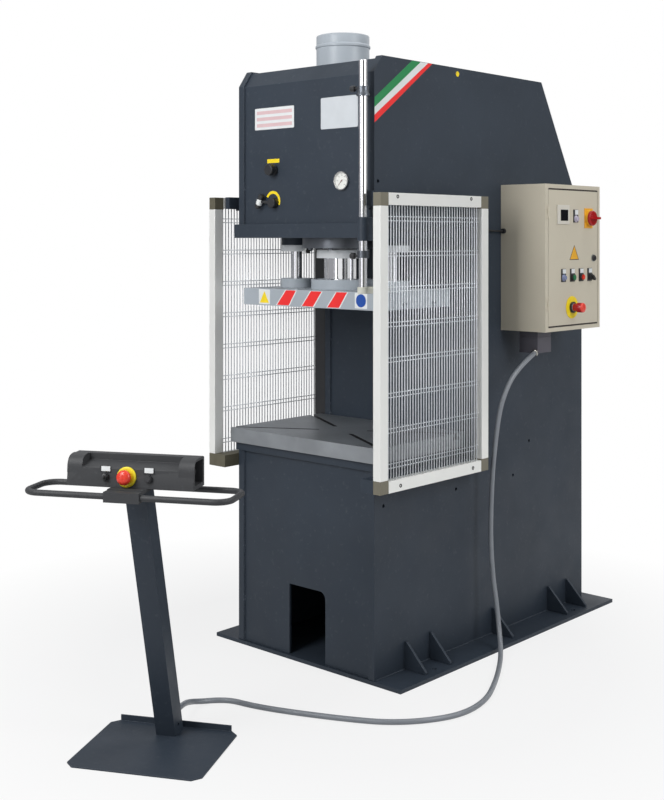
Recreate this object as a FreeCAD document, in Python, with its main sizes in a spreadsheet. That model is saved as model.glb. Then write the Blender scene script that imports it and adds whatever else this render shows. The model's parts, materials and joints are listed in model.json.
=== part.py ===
import FreeCAD, Part
import math
import os
import re

import Sketcher

# Hydraulic C-frame press with guided ram, side guards, cabinet and two-hand control pedestal.
# Millimetres. X to the right, Y to the back, Z up. The origin is the centre of the base plate's
# underside. The pedestal is modelled upright in its own frame and then turned into place.

os.makedirs("parts", exist_ok=True)
doc = FreeCAD.newDocument("hydraulic_press")
V = FreeCAD.Vector

SIZES = {
    # base plate and gussets
    "base_length": 1570, "base_width": 1010, "base_thick": 15,
    "anchor_inset_x": 48.5, "anchor_inset_y": 270, "anchor_hole_radius": 11,
    "gusset_reach": 105, "gusset_rise": 108, "gusset_thick": 12, "gusset_nose": 10,
    "gusset_outer_y": 592, "gusset_inner_y": 435,
    # side plates, seen from the side as a C open to the front
    "plate_outer_x": 373, "plate_thick": 30, "front_y": -780, "rear_y": 730,
    "frame_top": 2400, "knee_z": 1800, "slope_top_y": 383.5, "bevel_run": 46, "bevel_rise": 66,
    "jaw_z": 811, "throat_y": -243.5, "head_z": 1700, "throat_radius": 40, "tapped_hole_radius": 7,
    # sheets and panels between the side plates
    "panel_inset": 8, "cover_thick": 8, "panel_thick": 12,
    "access_left": -84, "access_right": 113, "access_top": 300, "access_radius": 30,
    "platen_top": 1757, "platen_lip": 12, "platen_overhang": 15,
    # bed
    "support_overhang": 12, "support_lip": 5, "support_top": 844,
    "bed_half_width": 402, "bed_front": -800, "bed_top": 904,
    "slot_mouth": 18, "slot_depth": 14, "slot_foot": 30, "slot_foot_height": 12,
    "bed_slot_angle": 31, "bed_slot_start": 108, "bed_slot_length": 430,
    # cylinder
    "axis_y": -540, "barrel_radius": 110, "bore_radius": 85, "barrel_top": 2535,
    "crown_rise": 5, "crown_wall": 40, "bead_drop": 47, "bead_proud": 4, "bead_half": 8,
    "flange_radius": 169, "flange_low": 1658, "ring_radius": 109, "ring_low": 1617,
    "ring_high": 1652, "neck_radius": 84,
    "rod_radius": 78, "piston_gap": 40, "piston_height": 80, "piston_play": 0.1,
    "sliding_play": 0.05, "seat_gap": 0.3,
    # guides
    "guide_x": 265, "column_radius": 22.5, "column_top": 2250,
    "housing_radius": 66, "housing_low": 1670, "guide_flange_radius": 68,
    "guide_flange_low": 1643, "guide_tube_radius": 45, "guide_tube_top": 1900,
    # ram
    "ram_half_width": 375, "ram_front": -748.5, "ram_back": -305,
    "ram_low": 1420.5, "ram_high": 1490, "ram_slot_front": -600, "ram_slot_back": -411,
    "boss_radius": 132, "boss_top": 1530, "guide_boss_radius": 67, "guide_boss_top": 1528,
    # oil tank and pump, behind the panels
    "tank_half_width": 290, "tank_front": 180, "tank_back": 690, "tank_top": 620, "tank_wall": 5,
    "lid_thick": 10, "motor_radius": 88, "motor_length": 300,
    # depth stop
    "stop_x": 360, "stop_y": -830, "stop_radius": 16, "stop_top": 2372, "arm_half": 22,
    "arm_thick": 25, "arm_back": -700, "stop_guide_low": 1689, "stop_guide_high": 1779,
    "upper_collar_low": 2236, "upper_collar_high": 2273, "collar_radius": 22, "collar_flare": 26,
    "lower_collar_low": 1625, "lower_collar_high": 1652, "upper_clamp_drop": 6,
    "lower_clamp_drop": 20, "clamp_stem_radius": 4, "clamp_stem": 17, "clamp_radius": 12,
    "clamp_length": 22,
    # limit switch
    "switch_left": 345, "switch_right": 385, "switch_front": -799, "switch_low": 1822,
    "switch_high": 1880, "roller_x": 366, "roller_z": 1812, "roller_radius": 6,
    # gauge, pressure knob and valve lever on the head cover
    "gauge_x": 204, "gauge_z": 1923, "gauge_radius": 36.5, "gauge_depth": 12, "gauge_rim": 3.5,
    "dial_depth": 4.5, "needle_length": 24, "needle_width": 2, "needle_hub": 3,
    "pressure_x": -170, "pressure_z": 1978.5, "pressure_radius": 23.5, "pressure_stem": 12,
    "pressure_waist": 17, "pressure_length": 38.5, "lever_x": -165, "lever_z": 1843.5,
    "lever_hub_radius": 21, "lever_hub_length": 27.7, "lever_radius": 6, "grip_x": -236.5,
    "grip_z": 1851, "grip_radius": 12, "grip_half": 31, "grip_lean": 26.6,
    # side guards
    "guard_outer_x": 469, "guard_thick": 35, "guard_front": -859.5, "guard_back": -166.5,
    "guard_low": 746, "guard_high": 1870, "guard_bar": 46, "guard_corner": 50,
    "wire": 5, "wire_count": 35, "pair_low": 834, "pair_pitch": 133, "pair_gap": 16,
    "arm_height": 50, "upper_arm_front": -740, "arm_wall": 5, "strip_thick": 8,
    "cable_hole_radius": 9,
    # cabinet
    "cab_front": 64, "cab_back": 509, "cab_low": 1304, "cab_high": 1928, "cab_face": 596,
    "cab_wall": 2, "rim": 22, "door_play": 2, "door_front": 88.5, "door_thick": 18,
    "door_sheet": 3, "hinge_y": 84, "hinge_radius": 3.5, "knuckle": 18, "knuckle_gap": 0.3,
    "hinge_low_z": 1420, "hinge_high_z": 1810, "leaf_thick": 2.5,
    "plate_x": 386, "plate_gap": 26, "gear_x": 470,
    # cabinet door fittings: Y and Z of their centres
    "switch_plate_y": 411, "switch_plate_z": 1786.5, "switch_plate_half": 34,
    "switch_plate_tall": 43.5, "main_knob_radius": 33, "main_knob_deep": 28,
    "main_knob_length": 59, "main_grip_half": 30, "main_grip_tip": 8, "main_grip_thick": 10,
    "display_front": 152, "display_back": 248, "display_low": 1759, "display_high": 1841,
    "lamp_y": 304, "lamp_z": 1795, "lamp_half": 19, "lamp_tall": 28, "lamp_lens_z": 1783,
    "row_z": 1530, "row_lamp_y": 205, "row_start_y": 276.5, "row_stop_y": 348.5,
    "row_mode_y": 421, "legend_half": 18, "legend_low": 18, "legend_high": 38,
    "legend_thick": 3, "collar_outer": 15, "button_radius": 11, "button_high": 16,
    "button_base": 5.5, "button_collar": 12, "mode_lean": 225,
    "door_stop_y": 273.5, "door_stop_z": 1401.5, "stop_plate_radius": 48,
    "stop_plate_thick": 3, "stop_neck_radius": 17, "stop_neck": 30, "mushroom_radius": 21,
    "mushroom_length": 32, "lock_y": 452, "lock_z": 1612, "lock_radius": 13.5, "lock_length": 10,
    # cable fittings
    "block_left": 440, "block_right": 532, "block_front": 106, "block_back": 210,
    "block_low": 1210, "block_seam": 1279,
    "gland_x": 518, "gland_y": 127, "gland_rise": 11, "gland_radius": 15, "gland_length": 29,
    "gland_tilt": 22,
    "small_gland_x": 389, "small_gland_z": 1730, "small_gland_radius": 11,
    "small_gland_length": 12, "conduit_radius": 10, "sensor_radius": 4,
    # pedestal, in its own frame: X along its front edge, Y away from the operator
    "pedestal_x": 208, "pedestal_y": -1717, "pedestal_turn": 28,
    "foot_length": 465, "foot_depth": 395, "foot_thick": 5, "foot_clip": 28, "foot_lip": 25,
    "column_size": 70, "column_wall": 4, "column_foot_y": 140, "column_head_y": -129,
    "column_head": 898, "vent_z": 36, "vent_radius": 6,
    "saddle_half": 60, "saddle_front": -270, "saddle_back": -240, "saddle_low": 874,
    "saddle_high": 907, "shelf_low": 898, "shelf_back": -104,
    "rail_half": 345, "rail_front": -255, "rail_back": -76, "rail_z": 890, "rail_radius": 10,
    "rail_bend": 50, "lug_half": 20, "lug_back": -62,
    "console_half": 215, "console_low": 910, "console_front_low": -206,
    "console_front_high": -200, "console_shoulder": 969, "console_back": -105,
    "console_high": 1005, "cheek_x": 165, "tray_back": -140, "tray_drop": 22,
    "recess_depth": 45, "recess_front": -190, "recess_back": -117, "recess_low": 922,
    "recess_high": 996, "shell_wall": 4, "console_stop_x": -9, "console_stop_z": 943,
    "console_select_x": -82, "console_button_x": 65, "console_row_z": 941.5,
    "console_ring_radius": 32.5, "console_ring_thick": 8, "console_collar": 13,
    "console_knob": 10, "palm_y": -153, "palm_z": 958, "palm_radius": 21, "palm_length": 14,
    "bush_z": 55, "bush_radius": 14, "bush_end": 190,
}

sheet = doc.addObject("Spreadsheet::Sheet", "Sizes")
for row, (alias, number) in enumerate(SIZES.items(), 1):
    sheet.set(f"A{row}", alias)
    sheet.set(f"B{row}", str(number))
    sheet.setAlias(f"B{row}", alias)
doc.recompute()

WORD = re.compile(r"[a-z][a-z_0-9]*")
ROLES = {"XY": "XY_Plane", "XZ": "XZ_Plane", "YZ": "YZ_Plane"}
TURNS = {
    "Z": FreeCAD.Rotation(),
    "-Z": FreeCAD.Rotation(V(1, 0, 0), 180),
    "X": FreeCAD.Rotation(V(0, 1, 0), 90),
    "-X": FreeCAD.Rotation(V(0, 1, 0), -90),
    "Y": FreeCAD.Rotation(V(1, 0, 0), -90),
    "-Y": FreeCAD.Rotation(V(1, 0, 0), 90),
}


def bound(expression):
    """The expression with every size name pointed at its spreadsheet cell."""
    return WORD.sub(lambda word: f"Sizes.{word[0]}" if word[0] in SIZES else word[0],
                    str(expression))


def bind(thing, fields):
    for field, expression in fields.items():
        thing.setExpression(field, bound(expression))
    return thing


def place(thing, x, y, z, axis="Z"):
    """Sets a thing at a point given by expressions, its local Z along the named axis."""
    thing.Placement = FreeCAD.Placement(V(), TURNS[axis])
    return bind(thing, {"Placement.Base.x": x, "Placement.Base.y": y, "Placement.Base.z": z})


def box(name, x, y, z):
    """A block between a low and a high expression on each axis."""
    solid = doc.addObject("Part::Box", name)
    bind(solid, {"Length": f"({x[1]}) - ({x[0]})", "Width": f"({y[1]}) - ({y[0]})",
                 "Height": f"({z[1]}) - ({z[0]})"})
    return place(solid, x[0], y[0], z[0])


def cylinder(name, x, y, z, radius, height, axis="Z"):
    solid = doc.addObject("Part::Cylinder", name)
    bind(solid, {"Radius": radius, "Height": height})
    return place(solid, x, y, z, axis)


def sketch(body, plane, outline, circles=()):
    """A closed outline of straight lines, each corner held by its distances from the origin."""
    drawing = body.newObject("Sketcher::SketchObject", f"{body.Name}_sketch")
    origin_plane = next(f for f in body.Origin.OriginFeatures if f.Role == ROLES[plane])
    drawing.AttachmentSupport = [(origin_plane, "")]
    drawing.MapMode = "FlatFace"
    count = len(outline)
    start = [V(500 * math.cos(math.tau * i / count), 500 * math.sin(math.tau * i / count), 0)
             for i in range(count)]
    for i in range(count):
        drawing.addGeometry(Part.LineSegment(start[i], start[(i + 1) % count]), False)
    for i in range(count):
        drawing.addConstraint(Sketcher.Constraint("Coincident", i, 2, (i + 1) % count, 1))
    for i, corner in enumerate(outline):
        hold(drawing, i, 1, corner, start[i])
    for x, y, radius in circles:
        ring = drawing.addGeometry(Part.Circle(V(0, 0, 0), V(0, 0, 1), 10), False)
        size = drawing.addConstraint(Sketcher.Constraint("Radius", ring, 10))
        drawing.setExpression(f"Constraints[{size}]", bound(radius))
        hold(drawing, ring, 3, (x, y), V())
    return drawing


def hold(drawing, element, point, corner, start):
    for kind, expression, value in zip(("DistanceX", "DistanceY"), corner, (start.x, start.y)):
        index = drawing.addConstraint(Sketcher.Constraint(kind, -1, 1, element, point, value))
        drawing.setExpression(f"Constraints[{index}]", bound(expression))


def prism(name, plane, outline, length, x="0", y="0", z="0", circles=()):
    """An outline padded along its plane's normal: +Z for XY, -Y for XZ and +X for YZ."""
    body = doc.addObject("PartDesign::Body", name)
    pad = body.newObject("PartDesign::Pad", f"{name}_pad")
    pad.Profile = sketch(body, plane, outline, circles)
    bind(pad, {"Length": length})
    body.Tip = pad
    return place(body, x, y, z)


def turned(name, outline, x="0", y="0", z="0", axis="Z"):
    """A radius and height outline turned once about its axis."""
    body = doc.addObject("PartDesign::Body", name)
    turn = body.newObject("PartDesign::Revolution", f"{name}_turn")
    turn.Profile = sketch(body, "XZ", outline)
    turn.ReferenceAxis = (turn.Profile[0], ["V_Axis"])
    turn.Angle = 360
    body.Tip = turn
    return place(body, x, y, z, axis)


def rounded(body, radius, chosen):
    """Fillets the edges of a body whose middle points are chosen."""
    doc.recompute()
    tip = body.Tip
    edges = [f"Edge{n}" for n, edge in enumerate(tip.Shape.Edges, 1) if chosen(edge.CenterOfMass)]
    fillet = body.newObject("PartDesign::Fillet", f"{body.Name}_fillet")
    fillet.Base = (tip, edges)
    bind(fillet, {"Radius": radius})
    body.Tip = fillet
    return body


def near(value, size):
    return abs(value - size) < 0.01


def join(name, *pieces):
    fused = doc.addObject("Part::MultiFuse", name)
    fused.Shapes = list(pieces)
    fused.Refine = True
    return fused


def cut(name, base, *tools):
    left = doc.addObject("Part::Cut", name)
    left.Base = base
    left.Tool = tools[0] if len(tools) == 1 else join(f"{name}_tools", *tools)
    return left


def group(name, *pieces):
    together = doc.addObject("Part::Compound", name)
    together.Links = list(pieces)
    return together


def stand(name, *pieces):
    """A pedestal piece: modelled in the pedestal's frame, turned and moved to its place."""
    moved = group(name, *pieces)
    moved.Placement = FreeCAD.Placement(V(), FreeCAD.Rotation(V(0, 0, 1), 28))
    return bind(moved, {"Placement.Base.x": "pedestal_x", "Placement.Base.y": "pedestal_y",
                        "Placement.Rotation.Angle": "pedestal_turn"})


def rectangle(left, right, low, high):
    return [(left, low), (right, low), (right, high), (left, high)]


INNER = "(plate_outer_x - plate_thick)"
SHEET_FRONT = "(front_y + panel_inset)"

# ---------------------------------------------------------------- frame weldment
prism("base_plate", "XY",
      rectangle("-base_width / 2", "base_width / 2", "-base_length / 2", "base_length / 2"),
      "base_thick",
      circles=[(f"{i} * (base_width / 2 - anchor_inset_x)",
                f"{j} * (base_length / 2 - anchor_inset_y)", "anchor_hole_radius")
               for i in (-1, 1) for j in (-1, 1)])

gussets = []
for side in (-1, 1):
    for number, y in enumerate(("-gusset_outer_y", "-gusset_inner_y", "0", "gusset_inner_y",
                                "gusset_outer_y")):
        profile = [("0", "0"), ("gusset_reach", "0"), ("gusset_reach", "gusset_nose"),
                   ("gusset_nose", "gusset_rise"), ("0", "gusset_rise")]
        outline = [(f"{side} * (plate_outer_x + {u})", f"base_thick + {v}") for u, v in profile]
        label = "left" if side < 0 else "right"
        gussets.append(prism(f"gusset_{label}_{number}", "XZ", outline, "gusset_thick",
                             y=f"{y} + gusset_thick / 2"))
group("base_gussets", *gussets)

SIDE = [("front_y", "base_thick"), ("front_y", "jaw_z"), ("throat_y", "jaw_z"),
        ("throat_y", "head_z"), ("front_y", "head_z"), ("front_y", "frame_top - bevel_rise"),
        ("front_y + bevel_run", "frame_top"), ("slope_top_y", "frame_top"),
        ("rear_y", "knee_z"), ("rear_y", "base_thick")]
TAPPED = [(-758, 1917), (-725, 673), (-260, 668), (282.5, 801), (156, 666)]


def throat_corner(point):
    return near(point.y, SIZES["throat_y"]) and near(point.z, SIZES["head_z"])


left_plate = prism("side_plate_left", "YZ", SIDE, "plate_thick", x="-plate_outer_x")
right_plate = prism("side_plate_right", "YZ", SIDE, "plate_thick", x=INNER,
                    circles=[(y, z, "tapped_hole_radius") for y, z in TAPPED])
for plate in (left_plate, right_plate):
    rounded(plate, "throat_radius", throat_corner)

# An edge line of the side plates, moved inward by a depth, meets its neighbours at these shifts.
BEVEL = "hypot(bevel_run; bevel_rise)"
SLOPE = "hypot(rear_y - slope_top_y; frame_top - knee_z)"
BEVEL_DROP = f"({BEVEL} - bevel_rise) / bevel_run"
BEVEL_SHIFT = f"({BEVEL} - bevel_run) / bevel_rise"
SLOPE_SHIFT = f"({SLOPE} - (rear_y - slope_top_y)) / (frame_top - knee_z)"
KNEE_DROP = f"({SLOPE} - (frame_top - knee_z)) / (rear_y - slope_top_y)"


def bevel_foot(depth):
    return f"front_y + {depth}", f"frame_top - bevel_rise - {depth} * {BEVEL_DROP}"


def bevel_head(depth):
    return f"front_y + bevel_run + {depth} * {BEVEL_SHIFT}", f"frame_top - {depth}"


def slope_head(depth):
    return f"slope_top_y - {depth} * {SLOPE_SHIFT}", f"frame_top - {depth}"


def slope_foot(depth):
    return f"rear_y - {depth}", f"knee_z - {depth} * {KNEE_DROP}"


OUT = "panel_inset"
IN = "(panel_inset + cover_thick)"
cover_sheet = prism(
    "cover_sheet", "YZ",
    [(f"front_y + {OUT}", "platen_top"), bevel_foot(OUT), bevel_head(OUT),
     (slope_head(IN)[0], f"frame_top - {OUT}"), slope_head(IN), bevel_head(IN), bevel_foot(IN),
     (f"front_y + {IN}", "platen_top")],
    f"2 * {INNER}", x=f"-{INNER}")
cut("head_cover", cover_sheet,
    cylinder("cover_hole", "0", "axis_y", "frame_top - 60", "barrel_radius + seat_gap", "80"))
prism("rear_panel", "YZ",
      [(slope_head(IN)[0], f"frame_top - {OUT}"), slope_head(OUT), slope_foot(OUT),
       (f"rear_y - {OUT}", "base_thick"), (f"rear_y - {IN}", "base_thick"), slope_foot(IN),
       slope_head(IN)],
      f"2 * {INNER}", x=f"-{INNER}")

PLATEN_BACK = "throat_y + panel_inset + panel_thick"
prism("head_platen", "XY",
      [("-plate_outer_x - platen_overhang", "front_y - platen_lip"),
       ("plate_outer_x + platen_overhang", "front_y - platen_lip"),
       ("plate_outer_x + platen_overhang", "front_y"), (INNER, "front_y"),
       (INNER, PLATEN_BACK), (f"-{INNER}", PLATEN_BACK), (f"-{INNER}", "front_y"),
       ("-plate_outer_x - platen_overhang", "front_y")],
      "platen_top - head_z", z="head_z",
      circles=[("0", "axis_y", "barrel_radius + seat_gap")]
      + [(f"{side} * guide_x", "axis_y", "guide_tube_radius + seat_gap") for side in (-1, 1)])

box("column_front_panel", (f"-{INNER}", INNER), ("throat_y + panel_inset", PLATEN_BACK),
    ("jaw_z", "head_z"))

lower_panel = prism("lower_front_panel", "XZ",
                    [(f"-{INNER}", "base_thick"), ("access_left", "base_thick"),
                     ("access_left", "access_top"), ("access_right", "access_top"),
                     ("access_right", "base_thick"), (INNER, "base_thick"), (INNER, "jaw_z"),
                     (f"-{INNER}", "jaw_z")],
                    "panel_thick", y=f"{SHEET_FRONT} + panel_thick")
rounded(lower_panel, "access_radius",
        lambda point: near(point.x, SIZES["access_right"]) and near(point.z, SIZES["access_top"]))

# ---------------------------------------------------------------- bed
box("bed_support_plate",
    ("-plate_outer_x - support_overhang", "plate_outer_x + support_overhang"),
    ("front_y - support_lip", "throat_y"), ("jaw_z", "support_top"))

bed_slots = []
for number, angle in enumerate(("bed_slot_angle", "180 - bed_slot_angle", "180 + bed_slot_angle",
                                "360 - bed_slot_angle")):
    end = "bed_slot_start + bed_slot_length"
    foot = ("bed_top - slot_depth - slot_foot_height", "bed_top - slot_depth + 1")
    slot = join(f"bed_slot_{number}",
                box(f"bed_mouth_{number}", ("bed_slot_start", end),
                    ("-slot_mouth / 2", "slot_mouth / 2"), ("bed_top - slot_depth", "bed_top + 1")),
                box(f"bed_foot_{number}", ("bed_slot_start", end),
                    ("-slot_foot / 2", "slot_foot / 2"), (foot[0], "bed_top - slot_depth")),
                cylinder(f"bed_mouth_end_{number}", "bed_slot_start", "0",
                         "bed_top - slot_depth", "slot_mouth / 2", "slot_depth + 1"),
                cylinder(f"bed_foot_end_{number}", "bed_slot_start", "0", foot[0],
                         "slot_foot / 2", "slot_foot_height"))
    slot.Placement = FreeCAD.Placement(V(), FreeCAD.Rotation(V(0, 0, 1), 30))
    bed_slots.append(bind(slot, {"Placement.Base.y": "axis_y", "Placement.Rotation.Angle": angle}))
cut("bed_plate",
    box("bed_block", ("-bed_half_width", "bed_half_width"), ("bed_front", "throat_y"),
        ("support_top", "bed_top")),
    *bed_slots)

# ---------------------------------------------------------------- cylinder and guides
BORE_TOP = "(barrel_top - crown_wall)"
BEAD_Z = "(barrel_top - bead_drop)"
PISTON_TOP = f"({BORE_TOP} - piston_gap)"
crown = [(1, 1), (0.985, 0.3), (0.95, 0)]
turned("cylinder_barrel",
       [("bore_radius", "head_z"), ("barrel_radius", "head_z"),
        ("barrel_radius", f"{BEAD_Z} - bead_half"),
        ("barrel_radius + bead_proud", f"{BEAD_Z} - bead_half / 2"),
        ("barrel_radius + bead_proud", f"{BEAD_Z} + bead_half / 2"),
        ("barrel_radius", f"{BEAD_Z} + bead_half")]
       + [(f"{part} * barrel_radius", f"barrel_top - {drop} * crown_rise") for part, drop in crown]
       + [("0", "barrel_top"), ("0", BORE_TOP), ("bore_radius", BORE_TOP)],
       y="axis_y")
turned("cylinder_gland",
       [("rod_radius + sliding_play", "ring_low"), ("ring_radius", "ring_low"),
        ("ring_radius", "ring_high"), ("neck_radius", "ring_high"), ("neck_radius", "flange_low"),
        ("flange_radius", "flange_low"), ("flange_radius", "head_z"),
        ("rod_radius + sliding_play", "head_z")],
       y="axis_y")
turned("piston_rod",
       [("0", "ram_high"), ("rod_radius", "ram_high"),
        ("rod_radius", f"{PISTON_TOP} - piston_height"),
        ("bore_radius - piston_play", f"{PISTON_TOP} - piston_height"),
        ("bore_radius - piston_play", PISTON_TOP), ("0", PISTON_TOP)],
       y="axis_y")

housings, columns, bosses = [], [], []
for side, label in ((-1, "left"), (1, "right")):
    x = f"{side} * guide_x"
    bore = "column_radius + sliding_play"
    housings.append(turned(
        f"guide_housing_{label}",
        [(bore, "guide_flange_low"), ("guide_flange_radius", "guide_flange_low"),
         ("guide_flange_radius", "housing_low"), ("housing_radius", "housing_low"),
         ("housing_radius", "head_z"), ("guide_tube_radius", "head_z"),
         ("guide_tube_radius", "guide_tube_top"), (bore, "guide_tube_top")],
        x=x, y="axis_y"))
    columns.append(cylinder(f"guide_column_{label}", x, "axis_y", "ram_high", "column_radius",
                            "column_top - ram_high"))
    bosses.append(turned(
        f"guide_boss_{label}",
        rectangle("column_radius + seat_gap", "guide_boss_radius", "ram_high", "guide_boss_top"),
        x=x, y="axis_y"))
group("guide_housings", *housings)
group("guide_columns", *columns)

# ---------------------------------------------------------------- ram
bosses.append(turned("centre_boss",
                     rectangle("rod_radius + seat_gap", "boss_radius", "ram_high", "boss_top"),
                     y="axis_y"))
group("ram_bosses", *bosses)


def ram_slot(centre):
    """The corners of a T-slot opening downward, from front to back."""
    mouth, foot = "slot_mouth / 2", "slot_foot / 2"
    step, top = "ram_low + slot_depth", "ram_low + slot_depth + slot_foot_height"
    front = [("-", mouth, "ram_low"), ("-", mouth, step), ("-", foot, step), ("-", foot, top)]
    back = [("+", half, height) for _, half, height in reversed(front)]
    return [(f"{centre} {sign} {half}", height) for sign, half, height in front + back]


prism("ram_plate", "YZ",
      [("ram_front", "ram_low"), *ram_slot("ram_slot_front"), *ram_slot("ram_slot_back"),
       ("ram_back", "ram_low"), ("ram_back", "ram_high"), ("ram_front", "ram_high")],
      "2 * ram_half_width", x="-ram_half_width")

# ---------------------------------------------------------------- oil tank and pump
tank_x = ("-tank_half_width", "tank_half_width")
tank_y = ("tank_front", "tank_back")
hollow = [(f"{low} + tank_wall", f"{high} - tank_wall") for low, high in (tank_x, tank_y)]
join("oil_tank",
     cut("tank_shell", box("tank_block", tank_x, tank_y, ("base_thick", "tank_top")),
         box("tank_hollow", *hollow, ("base_thick + tank_wall", "tank_top + 1"))),
     box("tank_lid", ("-tank_half_width - 8", "tank_half_width + 8"),
         ("tank_front - 8", "tank_back + 8"), ("tank_top", "tank_top + lid_thick")),
     cylinder("filler_neck", "200", "620", "tank_top + lid_thick", "28", "36"),
     box("valve_block", ("-240", "-110"), ("230", "330"),
         ("tank_top + lid_thick", "tank_top + lid_thick + 90")))
MOTOR_Z = "tank_top + lid_thick + 100"
join("pump_motor",
     cylinder("motor_drum", "60", "300", MOTOR_Z, "motor_radius", "motor_length", "Y"),
     cylinder("pump_bell", "60", "230", MOTOR_Z, "motor_radius * 0.72", "70", "Y"),
     cylinder("motor_cowl", "60", "300 + motor_length", MOTOR_Z, "motor_radius + 4", "40", "Y"),
     box("motor_feet", ("-20", "140"), ("340", "520"), ("tank_top + lid_thick", MOTOR_Z)),
     box("motor_terminals", ("20", "100"), ("380", "480"),
         (f"{MOTOR_Z} + 60", f"{MOTOR_Z} + motor_radius + 50")))

# ---------------------------------------------------------------- depth stop
turned("stop_rod",
       [("0", "ram_high + arm_thick"), ("stop_radius", "ram_high + arm_thick"),
        ("stop_radius", "stop_top - 2"), ("stop_radius - 2", "stop_top"), ("0", "stop_top")],
       x="stop_x", y="stop_y")
ROD_SPAN = ("stop_x - arm_half", "stop_x + arm_half")
join("stop_rod_arm",
     box("arm_bar", ROD_SPAN, ("stop_y", "arm_back"), ("ram_high", "ram_high + arm_thick")),
     cylinder("arm_nose", "stop_x", "stop_y", "ram_high", "arm_half", "arm_thick"))
cut("stop_rod_guide",
    join("guide_block",
         box("guide_body", ROD_SPAN, ("stop_y", "front_y - platen_lip"),
             ("stop_guide_low", "stop_guide_high")),
         cylinder("guide_nose", "stop_x", "stop_y", "stop_guide_low", "arm_half",
                  "stop_guide_high - stop_guide_low")),
    cylinder("guide_bore", "stop_x", "stop_y", "stop_guide_low - 1",
             "stop_radius + sliding_play", "stop_guide_high - stop_guide_low + 2"))

COLLAR_BORE = "stop_radius + sliding_play"
turned("upper_stop_collar",
       [(COLLAR_BORE, "upper_collar_low"), ("collar_flare", "upper_collar_low"),
        ("collar_flare", "upper_collar_low + 6"), ("collar_radius", "upper_collar_low + 12"),
        ("collar_radius", "upper_collar_high"), (COLLAR_BORE, "upper_collar_high")],
       x="stop_x", y="stop_y")
turned("lower_stop_collar",
       rectangle(COLLAR_BORE, "collar_radius", "lower_collar_low", "lower_collar_high"),
       x="stop_x", y="stop_y")
for label in ("upper", "lower"):
    turned(f"{label}_collar_knob",
           [("0", "0"), ("clamp_stem_radius", "0"), ("clamp_stem_radius", "clamp_stem"),
            ("clamp_radius - 3", "clamp_stem"), ("clamp_radius", "clamp_stem + 4"),
            ("clamp_radius", "clamp_stem + clamp_length - 3"),
            ("clamp_radius - 3", "clamp_stem + clamp_length"), ("0", "clamp_stem + clamp_length")],
           x="stop_x - collar_radius - seat_gap", y="stop_y",
           z=f"{label}_collar_high - {label}_clamp_drop", axis="-X")

join("limit_switch",
     box("switch_body", ("switch_left", "switch_right"), ("switch_front", "front_y"),
         ("switch_low", "switch_high")),
     box("switch_lever", ("roller_x + 3", "roller_x + 6"), ("switch_front", "switch_front + 8"),
         ("roller_z", "switch_low")),
     cylinder("switch_roller", "roller_x - 5", "switch_front + 3", "roller_z", "roller_radius",
              "8", "X"))

# ---------------------------------------------------------------- head controls
turned("pressure_gauge",
       [("0", "0"), ("gauge_radius", "0"), ("gauge_radius", "gauge_depth"),
        ("gauge_radius - gauge_rim", "gauge_depth"), ("gauge_radius - gauge_rim", "dial_depth"),
        ("0", "dial_depth")],
       x="gauge_x", y=SHEET_FRONT, z="gauge_z", axis="-Y")
needle = join("gauge_needle",
              cylinder("needle_boss", "0", "0", "0", "needle_hub", "3", "-Y"),
              box("needle_blade", ("-needle_width / 2", "needle_width / 2"), ("-2", "-1"),
                  ("-needle_hub * 2", "needle_length")))
needle.Placement = FreeCAD.Placement(V(), FreeCAD.Rotation(V(0, 1, 0), -135))
bind(needle, {"Placement.Base.x": "gauge_x",
              "Placement.Base.y": f"{SHEET_FRONT} - dial_depth - seat_gap",
              "Placement.Base.z": "gauge_z"})

turned("pressure_knob",
       [("0", "0"), ("pressure_radius - 2", "0"), ("pressure_radius - 2", "pressure_stem - 2"),
        ("pressure_radius - 4", "pressure_stem"), ("pressure_waist", "pressure_stem"),
        ("pressure_waist", "pressure_stem + 4"), ("pressure_radius - 1.5", "pressure_stem + 4"),
        ("pressure_radius", "pressure_stem + 6"), ("pressure_radius", "pressure_length - 3"),
        ("pressure_radius - 3", "pressure_length"), ("0", "pressure_length")],
       x="pressure_x", y=f"{SHEET_FRONT} - seat_gap", z="pressure_z", axis="-Y")

LEVER_Y = f"{SHEET_FRONT} - seat_gap"
ARM_Y = f"{LEVER_Y} - lever_hub_length + 8"
lever_bar = cylinder("lever_bar", "lever_x", ARM_Y, "lever_z", "lever_radius",
                     "hypot(lever_x - grip_x; grip_z - lever_z)")
lever_bar.Placement.Rotation = FreeCAD.Rotation(V(0, -1, 0), 84)
bind(lever_bar, {"Placement.Rotation.Angle":
                 "90 - atan((grip_z - lever_z) / (lever_x - grip_x)) / 1deg"})
lever_grip = turned("lever_grip",
                    [("0", "-grip_half"), ("grip_radius - 4", "-grip_half"),
                     ("grip_radius", "4 - grip_half"), ("grip_radius", "grip_half - 4"),
                     ("grip_radius - 4", "grip_half"), ("0", "grip_half")],
                    "grip_x", ARM_Y, "grip_z")
lever_grip.Placement.Rotation = FreeCAD.Rotation(V(0, 1, 0), 26)
bind(lever_grip, {"Placement.Rotation.Angle": "grip_lean"})
join("valve_lever",
     turned("lever_hub",
            [("0", "0"), ("lever_hub_radius", "0"), ("lever_hub_radius", "lever_hub_length - 3"),
             ("lever_hub_radius - 3", "lever_hub_length"), ("0", "lever_hub_length")],
            x="lever_x", y=LEVER_Y, z="lever_z", axis="-Y"),
     lever_bar, lever_grip)

# ---------------------------------------------------------------- side guards
WIRE_X = "guard_outer_x - guard_thick / 2"
PITCH = "(guard_back - guard_front - 2 * guard_bar) / (wire_count + 1)"
bars, corners, arms, strips = [], [], [], []


def span(side, low, high):
    """An X range between two distances from the middle plane, on one side of it."""
    return (low, high) if side > 0 else (f"-({high})", f"-({low})")


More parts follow.
